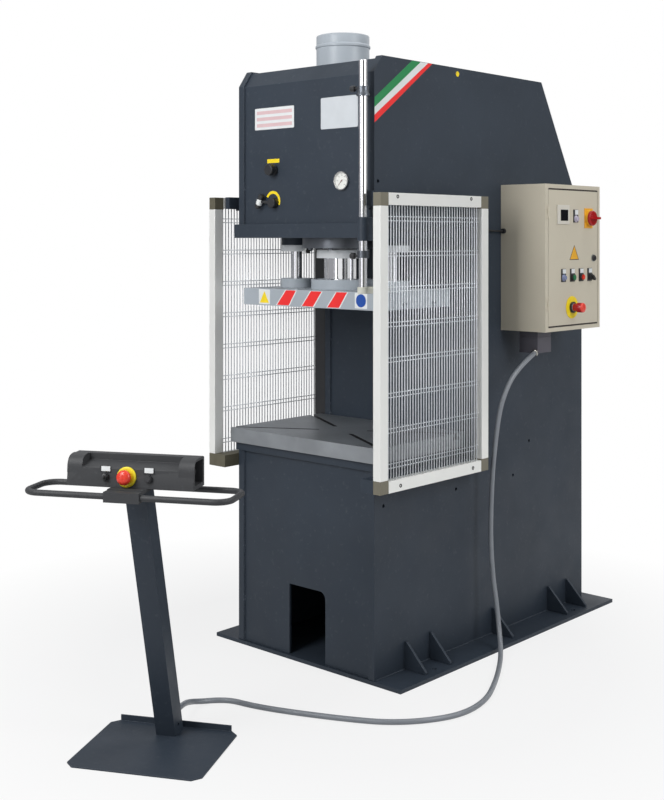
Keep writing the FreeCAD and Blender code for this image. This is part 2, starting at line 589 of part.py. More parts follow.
for side, label in ((-1, "left"), (1, "right")):
    across = span(side, "guard_outer_x - guard_thick", "guard_outer_x")
    stile_z = ("guard_low + guard_corner", "guard_high - guard_corner")
    rail_y = ("guard_front + guard_corner", "guard_back - guard_corner")
    bars += [
        box(f"front_stile_{label}", across, ("guard_front", "guard_front + guard_bar"), stile_z),
        box(f"rear_stile_{label}", across, ("guard_back - guard_bar", "guard_back"), stile_z),
        box(f"bottom_rail_{label}", across, rail_y, ("guard_low", "guard_low + guard_bar")),
        box(f"top_rail_{label}", across, rail_y, ("guard_high - guard_bar", "guard_high")),
    ]
    for row, z in enumerate((("guard_low", "guard_low + guard_corner"),
                             ("guard_high - guard_corner", "guard_high"))):
        corners.append(box(f"front_corner_{label}_{row}", across,
                           ("guard_front", "guard_front + guard_corner"), z))
        corners.append(box(f"rear_corner_{label}_{row}", across,
                           ("guard_back - guard_corner", "guard_back"), z))
    uprights = span(side, f"{WIRE_X} - wire", WIRE_X)
    crossings = span(side, WIRE_X, f"{WIRE_X} + wire")
    wires = []
    for number in range(1, SIZES["wire_count"] + 1):
        y = f"guard_front + guard_bar + {number} * {PITCH}"
        wires.append(box(f"wire_{label}_{number}", uprights, (f"{y} - wire / 2", f"{y} + wire / 2"),
                         ("guard_low + guard_bar", "guard_high - guard_bar")))
    for number in range(8):
        for twin in range(2):
            z = f"pair_low + {number} * pair_pitch + {twin} * pair_gap"
            wires.append(box(f"cross_{label}_{number}_{twin}", crossings,
                             ("guard_front + guard_bar", "guard_back - guard_bar"),
                             (f"{z} - wire / 2", f"{z} + wire / 2")))
    group(f"guard_mesh_{label}", *wires)

    reach = span(side, "plate_outer_x", "guard_outer_x - guard_thick")
    bore = span(side, "plate_outer_x + arm_wall", "guard_outer_x - guard_thick - arm_wall")
    for row, front, low in (("lower", "guard_front", "guard_low"),
                            ("upper", "upper_arm_front", "guard_high - arm_height - 4")):
        arms.append(cut(
            f"guard_arm_{label}_{row}",
            box(f"arm_outer_{label}_{row}", reach, (front, "guard_back"),
                (low, f"{low} + arm_height")),
            box(f"arm_inner_{label}_{row}", bore, (f"{front} + arm_wall", "guard_back + 1"),
                (f"{low} + arm_wall", f"{low} + arm_height - arm_wall"))))
    strips.append(box(f"strip_{label}", reach, ("throat_y", "throat_y + strip_thick"),
                      ("guard_low + arm_height", "guard_high - arm_height - 4")))
group("guard_bars", *bars)
group("guard_corners", *corners)
group("guard_arms", *arms)
strips[1] = cut("strip_right_drilled", strips[1],
                cylinder("strip_hole", "384.5", "throat_y - 1", "1748", "cable_hole_radius",
                         "strip_thick + 2", "Y"))
group("guard_closing_strips", *strips)

# ---------------------------------------------------------------- cabinet
CAB_X = ("plate_outer_x", "cab_face")
CAB_Y = ("cab_front", "cab_back")
CAB_Z = ("cab_low", "cab_high")
DOOR_Y = ("door_front", "cab_back - rim + door_play / 2")
DOOR_Z = ("cab_low + rim + door_play", "cab_high - rim - door_play")
HINGE_X = "(cab_face + hinge_radius)"


def shrunk(pair, amount):
    return f"{pair[0]} + {amount}", f"{pair[1]} - {amount}"


shell = cut("cabinet_shell", box("cabinet_block", CAB_X, CAB_Y, CAB_Z),
            box("cabinet_hollow", shrunk(CAB_X, "cab_wall"), shrunk(CAB_Y, "cab_wall"),
                shrunk(CAB_Z, "cab_wall")),
            box("door_opening", ("cab_face - 20", "cab_face + 1"),
                ("cab_front + rim", "cab_back - rim + 2 * door_play"), shrunk(CAB_Z, "rim")))
knuckles, door_knuckles = [], []
for row, z in enumerate(("hinge_low_z", "hinge_high_z")):
    for step in (-1, 1):
        low = f"{z} + {step} * (knuckle + knuckle_gap) - knuckle / 2"
        knuckles.append(cylinder(f"knuckle_{row}_{step + 1}", HINGE_X, "hinge_y", low,
                                 "hinge_radius", "knuckle"))
        knuckles.append(box(f"leaf_{row}_{step + 1}", ("cab_face", "cab_face + leaf_thick"),
                            ("cab_front + 3", "hinge_y - 2"), (low, f"{low} + knuckle")))
    low = f"{z} - knuckle / 2"
    door_knuckles += [
        cylinder(f"door_knuckle_{row}", HINGE_X, "hinge_y", low, "hinge_radius", "knuckle"),
        box(f"door_leaf_{row}", ("cab_face", "cab_face + leaf_thick"),
            ("hinge_y + 2", "door_front + 12"), (low, f"{low} + knuckle")),
    ]
plate_z = shrunk(CAB_Z, "plate_gap")
gear = [box("mounting_plate", ("plate_outer_x + cab_wall", "plate_x"),
            shrunk(CAB_Y, "plate_gap"), plate_z)]
for number, (y, z, wide, tall, deep) in enumerate((
        (110, 1780, 70, 90, 1.0), (190, 1780, 70, 90, 1.0), (270, 1780, 70, 90, 0.8),
        (350, 1780, 100, 90, 0.9), (110, 1640, 340, 40, 0.5), (110, 1540, 120, 70, 0.9),
        (250, 1540, 200, 70, 0.7), (110, 1380, 340, 60, 0.6))):
    gear.append(box(f"device_{number}", ("plate_x", f"plate_x + {deep} * (gear_x - plate_x)"),
                    (f"{y}", f"{y} + {wide}"), (f"{z}", f"{z} + {tall}")))
join("cabinet_body", shell, *knuckles, *gear)

door_pan = cut("door_pan",
               box("door_block", ("cab_face - door_thick", "cab_face"), DOOR_Y, DOOR_Z),
               box("door_hollow", ("cab_face - door_thick - 1", "cab_face - door_sheet"),
                   shrunk(DOOR_Y, "door_sheet"), shrunk(DOOR_Z, "door_sheet")))
join("cabinet_door", door_pan, *door_knuckles)


def facing(name, outline, y, z, gap="0"):
    """A turned piece standing on the cabinet door."""
    return turned(name, outline, x=f"cab_face + {gap}", y=y, z=z, axis="X")


def legend_plate(label):
    """The thin black plate round a push-button, taller above it where the legend sits."""
    y = f"{label}_y"
    return box(f"{label}_plate", ("cab_face", "cab_face + legend_thick"),
               (f"{y} - legend_half", f"{y} + legend_half"),
               ("row_z - legend_low", "row_z + legend_high"))


LENS = [("0", "0"), ("collar_outer", "0"), ("collar_outer", "5"), ("button_radius + 1", "7"),
        ("button_radius - 2", "14"), ("0", "16")]
bezels = [
    box("switch_plate", ("cab_face", "cab_face + 2.5"),
        ("switch_plate_y - switch_plate_half", "switch_plate_y + switch_plate_half"),
        ("switch_plate_z - switch_plate_tall", "switch_plate_z + switch_plate_tall")),
    box("display_frame", ("cab_face", "cab_face + 5"), ("display_front", "display_back"),
        ("display_low", "display_high")),
    join("lamp_block",
         box("lamp_plate", ("cab_face", "cab_face + legend_thick"),
             ("lamp_y - lamp_half", "lamp_y + lamp_half"),
             ("lamp_z - lamp_tall", "lamp_z + lamp_tall")),
         facing("lamp_lens", LENS, "lamp_y", "lamp_lens_z")),
    join("row_lamp", legend_plate("row_lamp"), facing("row_lens", LENS, "row_lamp_y", "row_z")),
    facing("stop_plate",
           [("stop_neck_radius + seat_gap", "0"), ("stop_plate_radius", "0"),
            ("stop_plate_radius", "stop_plate_thick"),
            ("stop_neck_radius + 7", "stop_plate_thick"), ("stop_neck_radius + 7", "11"),
            ("stop_neck_radius + seat_gap", "11")],
           "door_stop_y", "door_stop_z"),
]
for label in ("start", "stop", "mode"):
    bezels.append(cut(
        f"{label}_surround",
        join(f"{label}_holder", legend_plate(f"row_{label}"),
             facing(f"{label}_collar", rectangle("0", "collar_outer", "0", "button_collar"),
                    f"row_{label}_y", "row_z")),
        cylinder(f"{label}_bore", "cab_face - 1", f"row_{label}_y", "row_z",
                 "button_radius + seat_gap", "button_collar + 2", "X")))
for label in ("row_lamp_y", "row_start_y", "row_stop_y", "row_mode_y"):
    bezels.append(box(f"contacts_{label}", ("cab_face - 48", "cab_face - door_sheet"),
                      (f"{label} - 14", f"{label} + 14"), ("row_z - 20", "row_z + 20")))
bezels.append(box("contacts_main", ("cab_face - 60", "cab_face - door_sheet"),
                  ("switch_plate_y - 25", "switch_plate_y + 25"),
                  ("switch_plate_z - 30", "switch_plate_z + 30")))
bezels.append(box("contacts_stop", ("cab_face - 50", "cab_face - door_sheet"),
                  ("door_stop_y - 16", "door_stop_y + 16"),
                  ("door_stop_z - 20", "door_stop_z + 20")))
group("door_bezels", *bezels)

join("main_switch_knob",
     facing("main_disc", [("0", "0"), ("main_knob_radius", "0"),
                          ("main_knob_radius", "main_knob_deep - 6"),
                          ("main_knob_radius - 3", "main_knob_deep - 3"),
                          ("0", "main_knob_deep - 3")],
            "switch_plate_y", "switch_plate_z", "2.5 + seat_gap"),
     prism("main_grip", "XY",
           [("cab_face + main_knob_deep - 6", "switch_plate_y - main_grip_half"),
            ("cab_face + main_knob_deep", "switch_plate_y - main_grip_half"),
            ("cab_face + main_knob_length", "switch_plate_y - main_grip_tip"),
            ("cab_face + main_knob_length", "switch_plate_y + main_grip_tip"),
            ("cab_face + main_knob_deep", "switch_plate_y + main_grip_half"),
            ("cab_face + main_knob_deep - 6", "switch_plate_y + main_grip_half")],
           "main_grip_thick", z="switch_plate_z - main_grip_thick / 2"))
for label in ("start", "stop"):
    facing(f"{label}_button", rectangle("0", "button_radius", "button_base", "button_high"),
           f"row_{label}_y", "row_z")
mode_lever = group("mode_lever", box("mode_lever_bar", ("0", "12"), ("-4", "4"), ("-9", "17")))
mode_lever.Placement = FreeCAD.Placement(V(), FreeCAD.Rotation(V(1, 0, 0), 225))
bind(mode_lever, {"Placement.Base.x": "cab_face + button_high - 2",
                  "Placement.Base.y": "row_mode_y", "Placement.Base.z": "row_z",
                  "Placement.Rotation.Angle": "mode_lean"})
join("mode_selector",
     facing("mode_disc", rectangle("0", "button_radius", "1", "button_high - 1"),
            "row_mode_y", "row_z"),
     mode_lever)
MUSHROOM = [("0", "5"), ("stop_neck_radius", "5"), ("stop_neck_radius", "stop_neck"),
            ("mushroom_radius", "stop_neck"),
            ("mushroom_radius", "stop_neck + 0.78 * mushroom_length"),
            ("mushroom_radius * 0.86", "stop_neck + 0.93 * mushroom_length"),
            ("mushroom_radius * 0.55", "stop_neck + mushroom_length"),
            ("0", "stop_neck + mushroom_length")]
facing("cabinet_estop", MUSHROOM, "door_stop_y", "door_stop_z")
join("door_lock",
     facing("lock_disc", [("0", "0"), ("lock_radius", "0"), ("lock_radius", "lock_length - 2"),
                          ("lock_radius - 2", "lock_length"), ("0", "lock_length")],
            "lock_y", "lock_z", "seat_gap"),
     box("lock_wing", ("cab_face + lock_length - 1", "cab_face + lock_length + 5"),
         ("lock_y - 2.5", "lock_y + 2.5"), ("lock_z - 8", "lock_z + 8")))

# ---------------------------------------------------------------- pedestal
half_foot, half_depth = "foot_length / 2", "foot_depth / 2"
clipped = []
for i, j in ((-1, -1), (1, -1), (1, 1), (-1, 1)):
    ends = [(f"{i} * {half_foot}", f"{j} * ({half_depth} - foot_clip)"),
            (f"{i} * ({half_foot} - foot_clip)", f"{j} * {half_depth}")]
    clipped += ends if i * j > 0 else ends[::-1]

stand("pedestal_base",
      join("foot", prism("foot_plate", "XY", clipped, "foot_thick"),
           box("foot_ridge", (f"-{half_foot} + foot_clip", f"{half_foot} - foot_clip"),
               (f"{half_depth} - foot_thick", half_depth), ("0", "foot_lip"))))

RUN = "(column_foot_y - column_head_y)"
RISE = "(column_head - foot_thick)"
STRETCH = f"hypot({RUN}; {RISE}) / {RISE}"


def leaning(name, half, wide, spare="0"):
    """A slanted square bar from the pedestal's foot to its head."""
    edge, slip = f"{half} * {STRETCH}", f"{spare} * {RUN} / {RISE}"
    low, high = f"foot_thick - {spare}", f"column_head + {spare}"
    foot, head = f"column_foot_y + {slip}", f"column_head_y - {slip}"
    return prism(name, "YZ",
                 [(f"{foot} - {edge}", low), (f"{foot} + {edge}", low),
                  (f"{head} + {edge}", high), (f"{head} - {edge}", high)],
                 f"2 * {wide}", x=f"-{wide}")


column_bar = leaning("column_bar", "column_size / 2", "column_size / 2")
column_tube = cut("column_tube", column_bar,
                  leaning("column_hollow", "(column_size / 2 - column_wall)",
                          "(column_size / 2 - column_wall)", "1"),
                  cylinder("vent", "column_size / 2 - column_wall - 1",
                           f"column_foot_y - (vent_z - foot_thick) * {RUN} / {RISE}", "vent_z",
                           "vent_radius", "column_wall + 2", "X"))
rail_holes = [cylinder(f"rail_hole_{n}", "-80", f"rail_{end}", "rail_z",
                       "rail_radius + seat_gap", "160", "X")
              for n, end in enumerate(("front", "back"))]
saddle = join("saddle",
              box("saddle_block", ("-saddle_half", "saddle_half"), ("saddle_front", "saddle_back"),
                  ("saddle_low", "saddle_high")),
              box("saddle_shelf", ("-saddle_half", "saddle_half"), ("saddle_back", "shelf_back"),
                  ("shelf_low", "console_low")),
              box("rear_lug", ("-lug_half", "lug_half"), ("shelf_back", "lug_back"),
                  ("rail_z - rail_radius - 4", "console_low")))
stand("pedestal_column",
      join("column_welded", column_tube, cut("saddle_drilled", saddle, *rail_holes)))


def filleted_path(points, radius=None, closed=False):
    """Straight runs joined by tangent arcs, as wide as the runs allow if no radius is given."""
    edges = []
    last = None
    first = None
    count = len(points)
    corners = range(count) if closed else range(1, count - 1)
    if not closed:
        first = last = points[0]
    for i in corners:
        before, corner, after = points[i - 1], points[i], points[(i + 1) % count]
        back, ahead = before - corner, after - corner
        half = back.getAngle(ahead) / 2
        run = min(back.Length, ahead.Length)
        bend = radius or 0.45 * run * math.tan(half)
        back.normalize()
        ahead.normalize()
        middle = (back + ahead).normalize()
        enter = corner + back * (bend / math.tan(half))
        leave = corner + ahead * (bend / math.tan(half))
        peak = corner + middle * (bend / math.sin(half) - bend)
        if last is None:
            first = enter
        else:
            edges.append(Part.LineSegment(last, enter).toShape())
        edges.append(Part.Arc(enter, peak, leave).toShape())
        last = leave
        if radius is None:
            print(f"bend {i}: radius {bend:.1f}, run {run:.1f}")
    edges.append(Part.LineSegment(last, first if closed else points[-1]).toShape())
    return Part.Wire(edges)


def tube(name, points, radius, bend=None, closed=False):
    path = filleted_path(points, bend, closed)
    edge = path.Edges[0]
    start = edge.valueAt(edge.FirstParameter)
    section = Part.Wire(Part.makeCircle(radius, start, edge.tangentAt(edge.FirstParameter)))
    solid = path.makePipeShell([section], True, False)
    print(f"{name}: length {path.Length:.0f}, volume ratio "
          f"{solid.Volume / (path.Length * math.pi * radius ** 2):.4f}")
    feature = doc.addObject("Part::Feature", name)
    feature.Shape = solid
    return feature


half, z = SIZES["rail_half"], SIZES["rail_z"]
front, back = SIZES["rail_front"], SIZES["rail_back"]
stand("hand_rail", tube("rail_loop", [V(-half, front, z), V(half, front, z), V(half, back, z),
                                      V(-half, back, z)],
                        SIZES["rail_radius"], SIZES["rail_bend"], True))

CONSOLE_X = ("-console_half", "console_half")
console_block = prism(
    "console_block", "YZ",
    [("console_front_low", "console_low"), ("console_front_high", "console_shoulder"),
     ("console_front_high + 10", "console_high - 13"),
     ("console_front_high + 30", "console_high - 2"), ("console_back - 10", "console_high"),
     ("console_back", "console_high - 4"), ("console_back", "console_low")],
    "2 * console_half", x="-console_half")
tray = prism("tray", "YZ",
             [("tray_back", "console_high + 5"), ("tray_back", "console_high - tray_drop"),
              ("console_front_high - 5", "console_shoulder - 2"),
              ("console_front_high - 20", "console_shoulder - 2"),
              ("console_front_high - 20", "console_high + 5")],
             "2 * cheek_x", x="-cheek_x")
recesses = [box(f"recess_{label}", span(side, "console_half - recess_depth", "console_half + 1"),
                ("recess_front", "recess_back"), ("recess_low", "recess_high"))
            for side, label in ((-1, "left"), (1, "right"))]
hollow_body = box("console_hollow", ("-cheek_x", "cheek_x"),
                  ("console_front_high + shell_wall", "console_back - shell_wall"),
                  ("console_low + shell_wall", "console_shoulder - 8"))
stand("console_housing", cut("console_shell", console_block, tray, hollow_body, *recesses))

FACE_TILT = "atan((console_front_high - console_front_low) / (console_shoulder - console_low))"


def on_console(name, outline, x, z):
    """A turned piece standing square on the console's slanted front face."""
    body = turned(name, outline, axis="-Y")
    slope = "(console_front_high - console_front_low) / (console_shoulder - console_low)"
    return bind(body, {"Placement.Base.x": x,
                       "Placement.Base.y": f"console_front_low + ({z} - console_low) * {slope}",
                       "Placement.Base.z": z,
                       "Placement.Rotation.Angle": f"90 - {FACE_TILT} / 1deg"})


console_rings = [
    on_console("console_stop_ring",
               [("14", "0"), ("console_ring_radius", "0"),
                ("console_ring_radius", "console_ring_thick - 3"),
                ("console_ring_radius - 4", "console_ring_thick"), ("14", "console_ring_thick")],
               "console_stop_x", "console_stop_z"),
]
for label in ("select", "button"):
    console_rings.append(on_console(
        f"console_{label}_ring", rectangle("console_knob + seat_gap", "console_collar", "0", "9"),
        f"console_{label}_x", "console_row_z"))
for side, label in ((-1, "left"), (1, "right")):
    x = f"{side} * (console_half - recess_depth)"
    axis = "X" if side > 0 else "-X"
    console_rings.append(turned(f"palm_ring_{label}", rectangle("10.3", "16", "0", "8"),
                                x=x, y="palm_y", z="palm_z", axis=axis))
    stand(f"palm_button_{label}",
          turned(f"palm_{label}",
                 [("0", "4.5"), ("10", "4.5"), ("10", "13"), ("palm_radius", "13"),
                  ("palm_radius", "8 + palm_length"), ("palm_radius * 0.8", "13 + palm_length"),
                  ("0", "15 + palm_length")],
                 x=x, y="palm_y", z="palm_z", axis=axis))
stand("console_bezels", *console_rings)

stand("console_estop",
      on_console("console_mushroom",
                 [("0", "5"), ("13.5", "5"), ("13.5", "20"), ("20", "20"), ("20", "27"),
                  ("16", "34"), ("8", "37"), ("0", "37")],
                 "console_stop_x", "console_stop_z"))
stand("console_selector",
      on_console("console_select_knob",
                 [("0", "1"), ("console_knob", "1"), ("console_knob", "14"),
                  ("console_knob - 4", "16"), ("console_knob - 5", "26"), ("0", "26")],
                 "console_select_x", "console_row_z"))
stand("console_button",
      on_console("console_push", rectangle("0", "console_knob", "5", "12"),
                 "console_button_x", "console_row_z"))

# ---------------------------------------------------------------- cables
gland = turned("gland_barrel",
               [("0", "0"), ("gland_radius - 2", "0"), ("gland_radius - 2", "gland_length - 10"),
                ("gland_radius", "gland_length - 10"), ("gland_radius", "gland_length - 3"),
                ("gland_radius - 3", "gland_length"), ("0", "gland_length")])
gland.Placement = FreeCAD.Placement(V(), FreeCAD.Rotation(V(1, 0, 0), 110))
bind(gland, {"Placement.Base.x": "gland_x", "Placement.Base.y": "gland_y",
             "Placement.Base.z": "block_low + gland_rise",
             "Placement.Rotation.Angle": "90 + gland_tilt"})
BLOCK_X, BLOCK_Y = ("block_left", "block_right"), ("block_front", "block_back")
block = join("connector",
             box("connector_hood", BLOCK_X, BLOCK_Y, ("block_low", "block_seam - 1.5")),
             box("connector_core", shrunk(BLOCK_X, "2"), shrunk(BLOCK_Y, "2"),
                 ("block_low + 10", "cab_low")),
             box("connector_base", BLOCK_X, BLOCK_Y, ("block_seam + 1.5", "cab_low")), gland)
bush = cut("bush_trimmed",
           turned("bush_turned",
                  [("0", "0"), ("bush_radius", "0"), ("bush_radius", "36"),
                   ("bush_radius - 3", "38"), ("bush_radius - 3", "bush_end - 145"),
                   ("0", "bush_end - 145")],
                  y="145", z="bush_z", axis="Y"),
           column_bar)
group("cable_fittings", block,
      cylinder("small_gland", "small_gland_x", "cab_front", "small_gland_z",
               "small_gland_radius", "small_gland_length", "-Y"),
      stand("pedestal_bush", bush))

TILT = math.radians(SIZES["gland_tilt"])
outward = V(0, -math.cos(TILT), -math.sin(TILT))
exit_point = V(SIZES["gland_x"], SIZES["gland_y"], SIZES["block_low"] + SIZES["gland_rise"]) \
    + outward * SIZES["gland_length"]
turn = math.radians(SIZES["pedestal_turn"])
away = V(-math.sin(turn), math.cos(turn), 0)
entry = V(SIZES["pedestal_x"], SIZES["pedestal_y"], SIZES["bush_z"]) + away * SIZES["bush_end"]
route = [
    exit_point, exit_point + outward * 58, V(506, -46, 1124), V(497, -91, 1054), V(487, -114, 980),
    V(471, -117, 868), V(458, -121, 737), V(452, -122, 610), V(451, -126, 450),
    V(460, -121, 290), V(476, -118, 190), V(496, -128, 85), V(540, -180, 24),
    V(612, -292, 10.4), V(712, -470, 10.4), V(790, -640, 10.4),
    V(806, -800, 10.4), V(748, -935, 10.4), V(655, -1042, 10.4), V(530, -1113, 10.4),
    V(375, -1184, 10.4), V(258, -1230, 10.4), V(172, -1254, 10.4), V(104, -1265, 10.4),
    V(58, -1300, 10.4), V(34, -1352, 14), V(36, -1410, 30), entry + away * 70, entry,
]
tube("conduit", route, SIZES["conduit_radius"])
print("conduit ends", exit_point, entry)

sensor_route = [
    V(389, 52, 1730), V(389, -28, 1730), V(386, -108, 1737), V(384.5, -190, 1746),
    V(384.5, -272, 1749), V(385, -355, 1744), V(386, -440, 1735), V(388, -525, 1728),
    V(390, -612, 1726), V(391, -690, 1736), V(388, -755, 1758), V(380, -789, 1785),
    V(380, -789, 1822),
]
tube("sensor_cable", sensor_route, SIZES["sensor_radius"])

# ---------------------------------------------------------------- check and export
NODES = (
    "base_plate", "base_gussets", "side_plate_left", "side_plate_right", "head_cover",
    "head_platen", "column_front_panel", "rear_panel", "lower_front_panel", "bed_support_plate",
    "bed_plate", "cylinder_barrel", "cylinder_gland", "piston_rod", "guide_housings",
    "guide_columns", "ram_plate", "ram_bosses", "oil_tank", "pump_motor", "stop_rod",
    "stop_rod_arm", "stop_rod_guide", "upper_stop_collar", "lower_stop_collar",
    "upper_collar_knob", "lower_collar_knob", "limit_switch", "pressure_gauge", "gauge_needle",
    "pressure_knob", "valve_lever", "guard_bars", "guard_corners", "guard_mesh_left",
    "guard_mesh_right", "guard_arms", "guard_closing_strips", "cabinet_body", "cabinet_door",
    "door_bezels", "main_switch_knob", "start_button", "stop_button", "mode_selector",
    "cabinet_estop", "door_lock", "cable_fittings", "conduit", "sensor_cable", "pedestal_base",
    "pedestal_column", "hand_rail", "console_housing", "console_bezels", "console_estop",
    "console_selector", "console_button", "palm_button_left", "palm_button_right",
)
doc.recompute()
for thing in doc.Objects:
    if {"Invalid", "Error"} & set(thing.State):
        raise RuntimeError(f"{thing.Name}: {thing.State}")
for name in NODES:
    piece = doc.getObject(name)
    if piece.Shape.isNull() or not piece.Shape.isValid():
        raise RuntimeError(f"{name} has no valid shape")
    piece.Shape.exportStep(f"parts/{name}.step")
    edges = piece.Shape.BoundBox
    print(f"{name:22s} solids {len(piece.Shape.Solids):3d}  x {edges.XMin:8.1f} {edges.XMax:8.1f}"
          f"  y {edges.YMin:8.1f} {edges.YMax:8.1f}  z {edges.ZMin:8.1f} {edges.ZMax:8.1f}")
print(len(NODES), "pieces")
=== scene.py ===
# %% [markdown]
# # A hydraulic press with guards, a cabinet and a two-hand pedestal
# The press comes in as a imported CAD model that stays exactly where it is. This lesson gives it paint,
# metal and plastic, rounds the edges that catch the light, adds the small things that a CAD model leaves
# out, such as weld beads, screws and dial marks, and sets up a camera, a floor and soft lamps.

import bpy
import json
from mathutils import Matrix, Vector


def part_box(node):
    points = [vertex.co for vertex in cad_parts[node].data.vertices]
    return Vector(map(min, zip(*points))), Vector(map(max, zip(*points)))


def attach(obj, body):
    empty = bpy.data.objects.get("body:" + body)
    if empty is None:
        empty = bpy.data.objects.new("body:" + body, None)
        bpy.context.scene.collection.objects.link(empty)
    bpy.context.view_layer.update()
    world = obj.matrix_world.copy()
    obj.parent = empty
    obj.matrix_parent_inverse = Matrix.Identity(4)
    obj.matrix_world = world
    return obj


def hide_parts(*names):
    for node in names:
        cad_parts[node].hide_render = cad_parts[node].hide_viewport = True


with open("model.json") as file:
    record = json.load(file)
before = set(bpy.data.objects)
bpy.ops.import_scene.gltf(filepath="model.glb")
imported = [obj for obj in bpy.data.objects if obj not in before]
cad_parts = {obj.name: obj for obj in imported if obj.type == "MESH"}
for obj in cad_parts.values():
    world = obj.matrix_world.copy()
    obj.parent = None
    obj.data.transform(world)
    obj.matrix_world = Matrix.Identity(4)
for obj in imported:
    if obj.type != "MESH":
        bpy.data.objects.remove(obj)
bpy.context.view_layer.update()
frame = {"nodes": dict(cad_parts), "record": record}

# %% The tools and the places that every later cell uses
import json
import math

import bmesh
import bpy
from mathutils import Matrix, Vector

scene = bpy.context.scene
SLOT_OF = {row["node"]: row["material_slot"] for row in frame["record"]["subparts"]}
BODY_OF = {node: body for body, nodes in frame["record"]["behaviour"]["bodies"].items()
           for node in nodes}


def middle_of(name):
    """The middle of a CAD piece's box, in metres."""
    low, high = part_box(name)
    return (low + high) / 2


def shown(name, data):
    """Puts a mesh, curve, lamp or camera in the scene as an object at the origin."""
    thing = bpy.data.objects.new(name, data)
    scene.collection.objects.link(thing)
    return thing


def mesh_of(name, form, *looks):
    """A mesh of a finished form, with its materials."""
    mesh = bpy.data.meshes.new(name)
    form.to_mesh(mesh)
    form.free()
    for look in looks:
        mesh.materials.append(look)
    return mesh


CYLINDER_Y = middle_of("cylinder_barrel").y
GAUGE = middle_of("pressure_gauge")
HEAD_FACE, RAM_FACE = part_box("head_cover")[0].y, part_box("ram_plate")[0].y
SIDE_FACE, DOOR_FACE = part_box("side_plate_right")[1].x, 0.596
print("faces", [round(v, 4) for v in (HEAD_FACE, RAM_FACE, SIDE_FACE, DOOR_FACE)])

# %% [markdown]
# ## The camera
# The photograph was taken at eye height, level, from the press's front right corner. A level camera
# keeps the uprights parallel, and its frame was shifted down instead of tilting it, so the lens gets a
# vertical shift. The lens length comes from the way the floor lines of the press run together. Both are
# measured in pixels of the picture.

# %% Set the camera
PICTURE_HEIGHT, FOCAL_LENGTH, FRAME_SHIFT = 800, 1230, -162
SENSOR = 36
EYE, HEADING = (3.392, -4.3485, 1.70), 42.2

camera = shown("photo_camera", bpy.data.cameras.new("photo_camera"))
camera.data.sensor_width = SENSOR
camera.data.lens = FOCAL_LENGTH * SENSOR / PICTURE_HEIGHT
camera.data.shift_y = FRAME_SHIFT / PICTURE_HEIGHT
camera.location = EYE
camera.rotation_euler = (math.radians(90), 0, math.radians(HEADING))
scene.camera = camera
print("lens", camera.data.lens)

# %% [markdown]
# ## The two cables
# A grey conduit hangs from the gland under the cabinet, bends forward round the frame's side and lies on
# the floor in one loose S as far as the pedestal. A thin black cable runs along the frame's side to the
# limit switch. Both are smooth NURBS curves, because a real cable has no corners: the curve only leans
# towards its control points, and the bevel gives it its thickness.

# %% Lay the conduit and the sensor cable
CONDUIT_ROUTE = [
    (0.518, 0.1001, 1.2101), (0.518, 0.0463, 1.1884), (0.506, -0.046, 1.124),
    (0.497, -0.091, 1.054), (0.487, -0.114, 0.980), (0.471, -0.117, 0.868),
    (0.458, -0.121, 0.737), (0.452, -0.122, 0.610), (0.451, -0.126, 0.450),
    (0.460, -0.121, 0.290), (0.476, -0.118, 0.190), (0.496, -0.128, 0.085),
    (0.540, -0.180, 0.024), (0.612, -0.292, 0.0104), (0.712, -0.470, 0.0104),
    (0.790, -0.640, 0.0104), (0.806, -0.800, 0.0104), (0.748, -0.935, 0.0104),
    (0.655, -1.042, 0.0104), (0.530, -1.113, 0.0104), (0.375, -1.184, 0.0104),
    (0.258, -1.230, 0.0104), (0.172, -1.254, 0.0104), (0.104, -1.265, 0.0104),
    (0.058, -1.300, 0.0104), (0.034, -1.352, 0.014), (0.036, -1.410, 0.030),
    (0.0859, -1.4874, 0.055), (0.1188, -1.5492, 0.055),
]
SENSOR_ROUTE = [
    (0.389, 0.052, 1.730), (0.389, -0.028, 1.730), (0.386, -0.108, 1.737),
    (0.3845, -0.190, 1.746), (0.3845, -0.272, 1.749), (0.385, -0.355, 1.744),
    (0.386, -0.440, 1.735), (0.388, -0.525, 1.728), (0.390, -0.612, 1.726),
    (0.391, -0.690, 1.736), (0.388, -0.755, 1.758), (0.380, -0.789, 1.785),
    (0.380, -0.789, 1.822),
]


def cable(name, route, radius):
    """A round cable along a smooth curve that leans towards the points of its route."""
    data = bpy.data.curves.new(name, "CURVE")
    data.dimensions = "3D"
    data.resolution_u = 10
    data.bevel_depth = 1.0
    data.bevel_resolution = 5
    data.use_fill_caps = True
    line = data.splines.new("NURBS")
    line.points.add(len(route) - 1)
    for point, spot in zip(line.points, route):
        point.co = (*spot, 1)
        point.radius = radius
    line.order_u = 3
    line.use_endpoint_u = True
    line.use_smooth = True
    return shown(name, data)


conduit = cable("floor_conduit", CONDUIT_ROUTE, 0.010)
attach(conduit, "root")
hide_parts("conduit")

sensor_lead = cable("sensor_lead", SENSOR_ROUTE, 0.004)
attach(sensor_lead, "root")
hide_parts("sensor_cable")
print("cables", len(CONDUIT_ROUTE), "and", len(SENSOR_ROUTE), "points")

# %% [markdown]
# ## Floor and light
# The picture has a plain white studio floor with one soft shadow. A few helpers come first. They wire
# up the sky and the floor here, and later the finishes and the Geometry Nodes trees.

# %% Helpers for node trees
def node(tree, kind, links=(), **fields):
    """A new node with its fields and input values set, and its inputs joined to other outputs."""
    made = tree.nodes.new(kind)
    for field, value in fields.items():
        setattr(made, field, value)
    for socket, source in links:
        if isinstance(source, bpy.types.NodeSocket):
            tree.links.new(source, made.inputs[socket])
        else:
            made.inputs[socket].default_value = source
    return made


def maths(tree, way, *values):
    """The result of one sum on numbers or on other results."""
    return node(tree, "ShaderNodeMath", enumerate(values), operation=way).outputs[0]


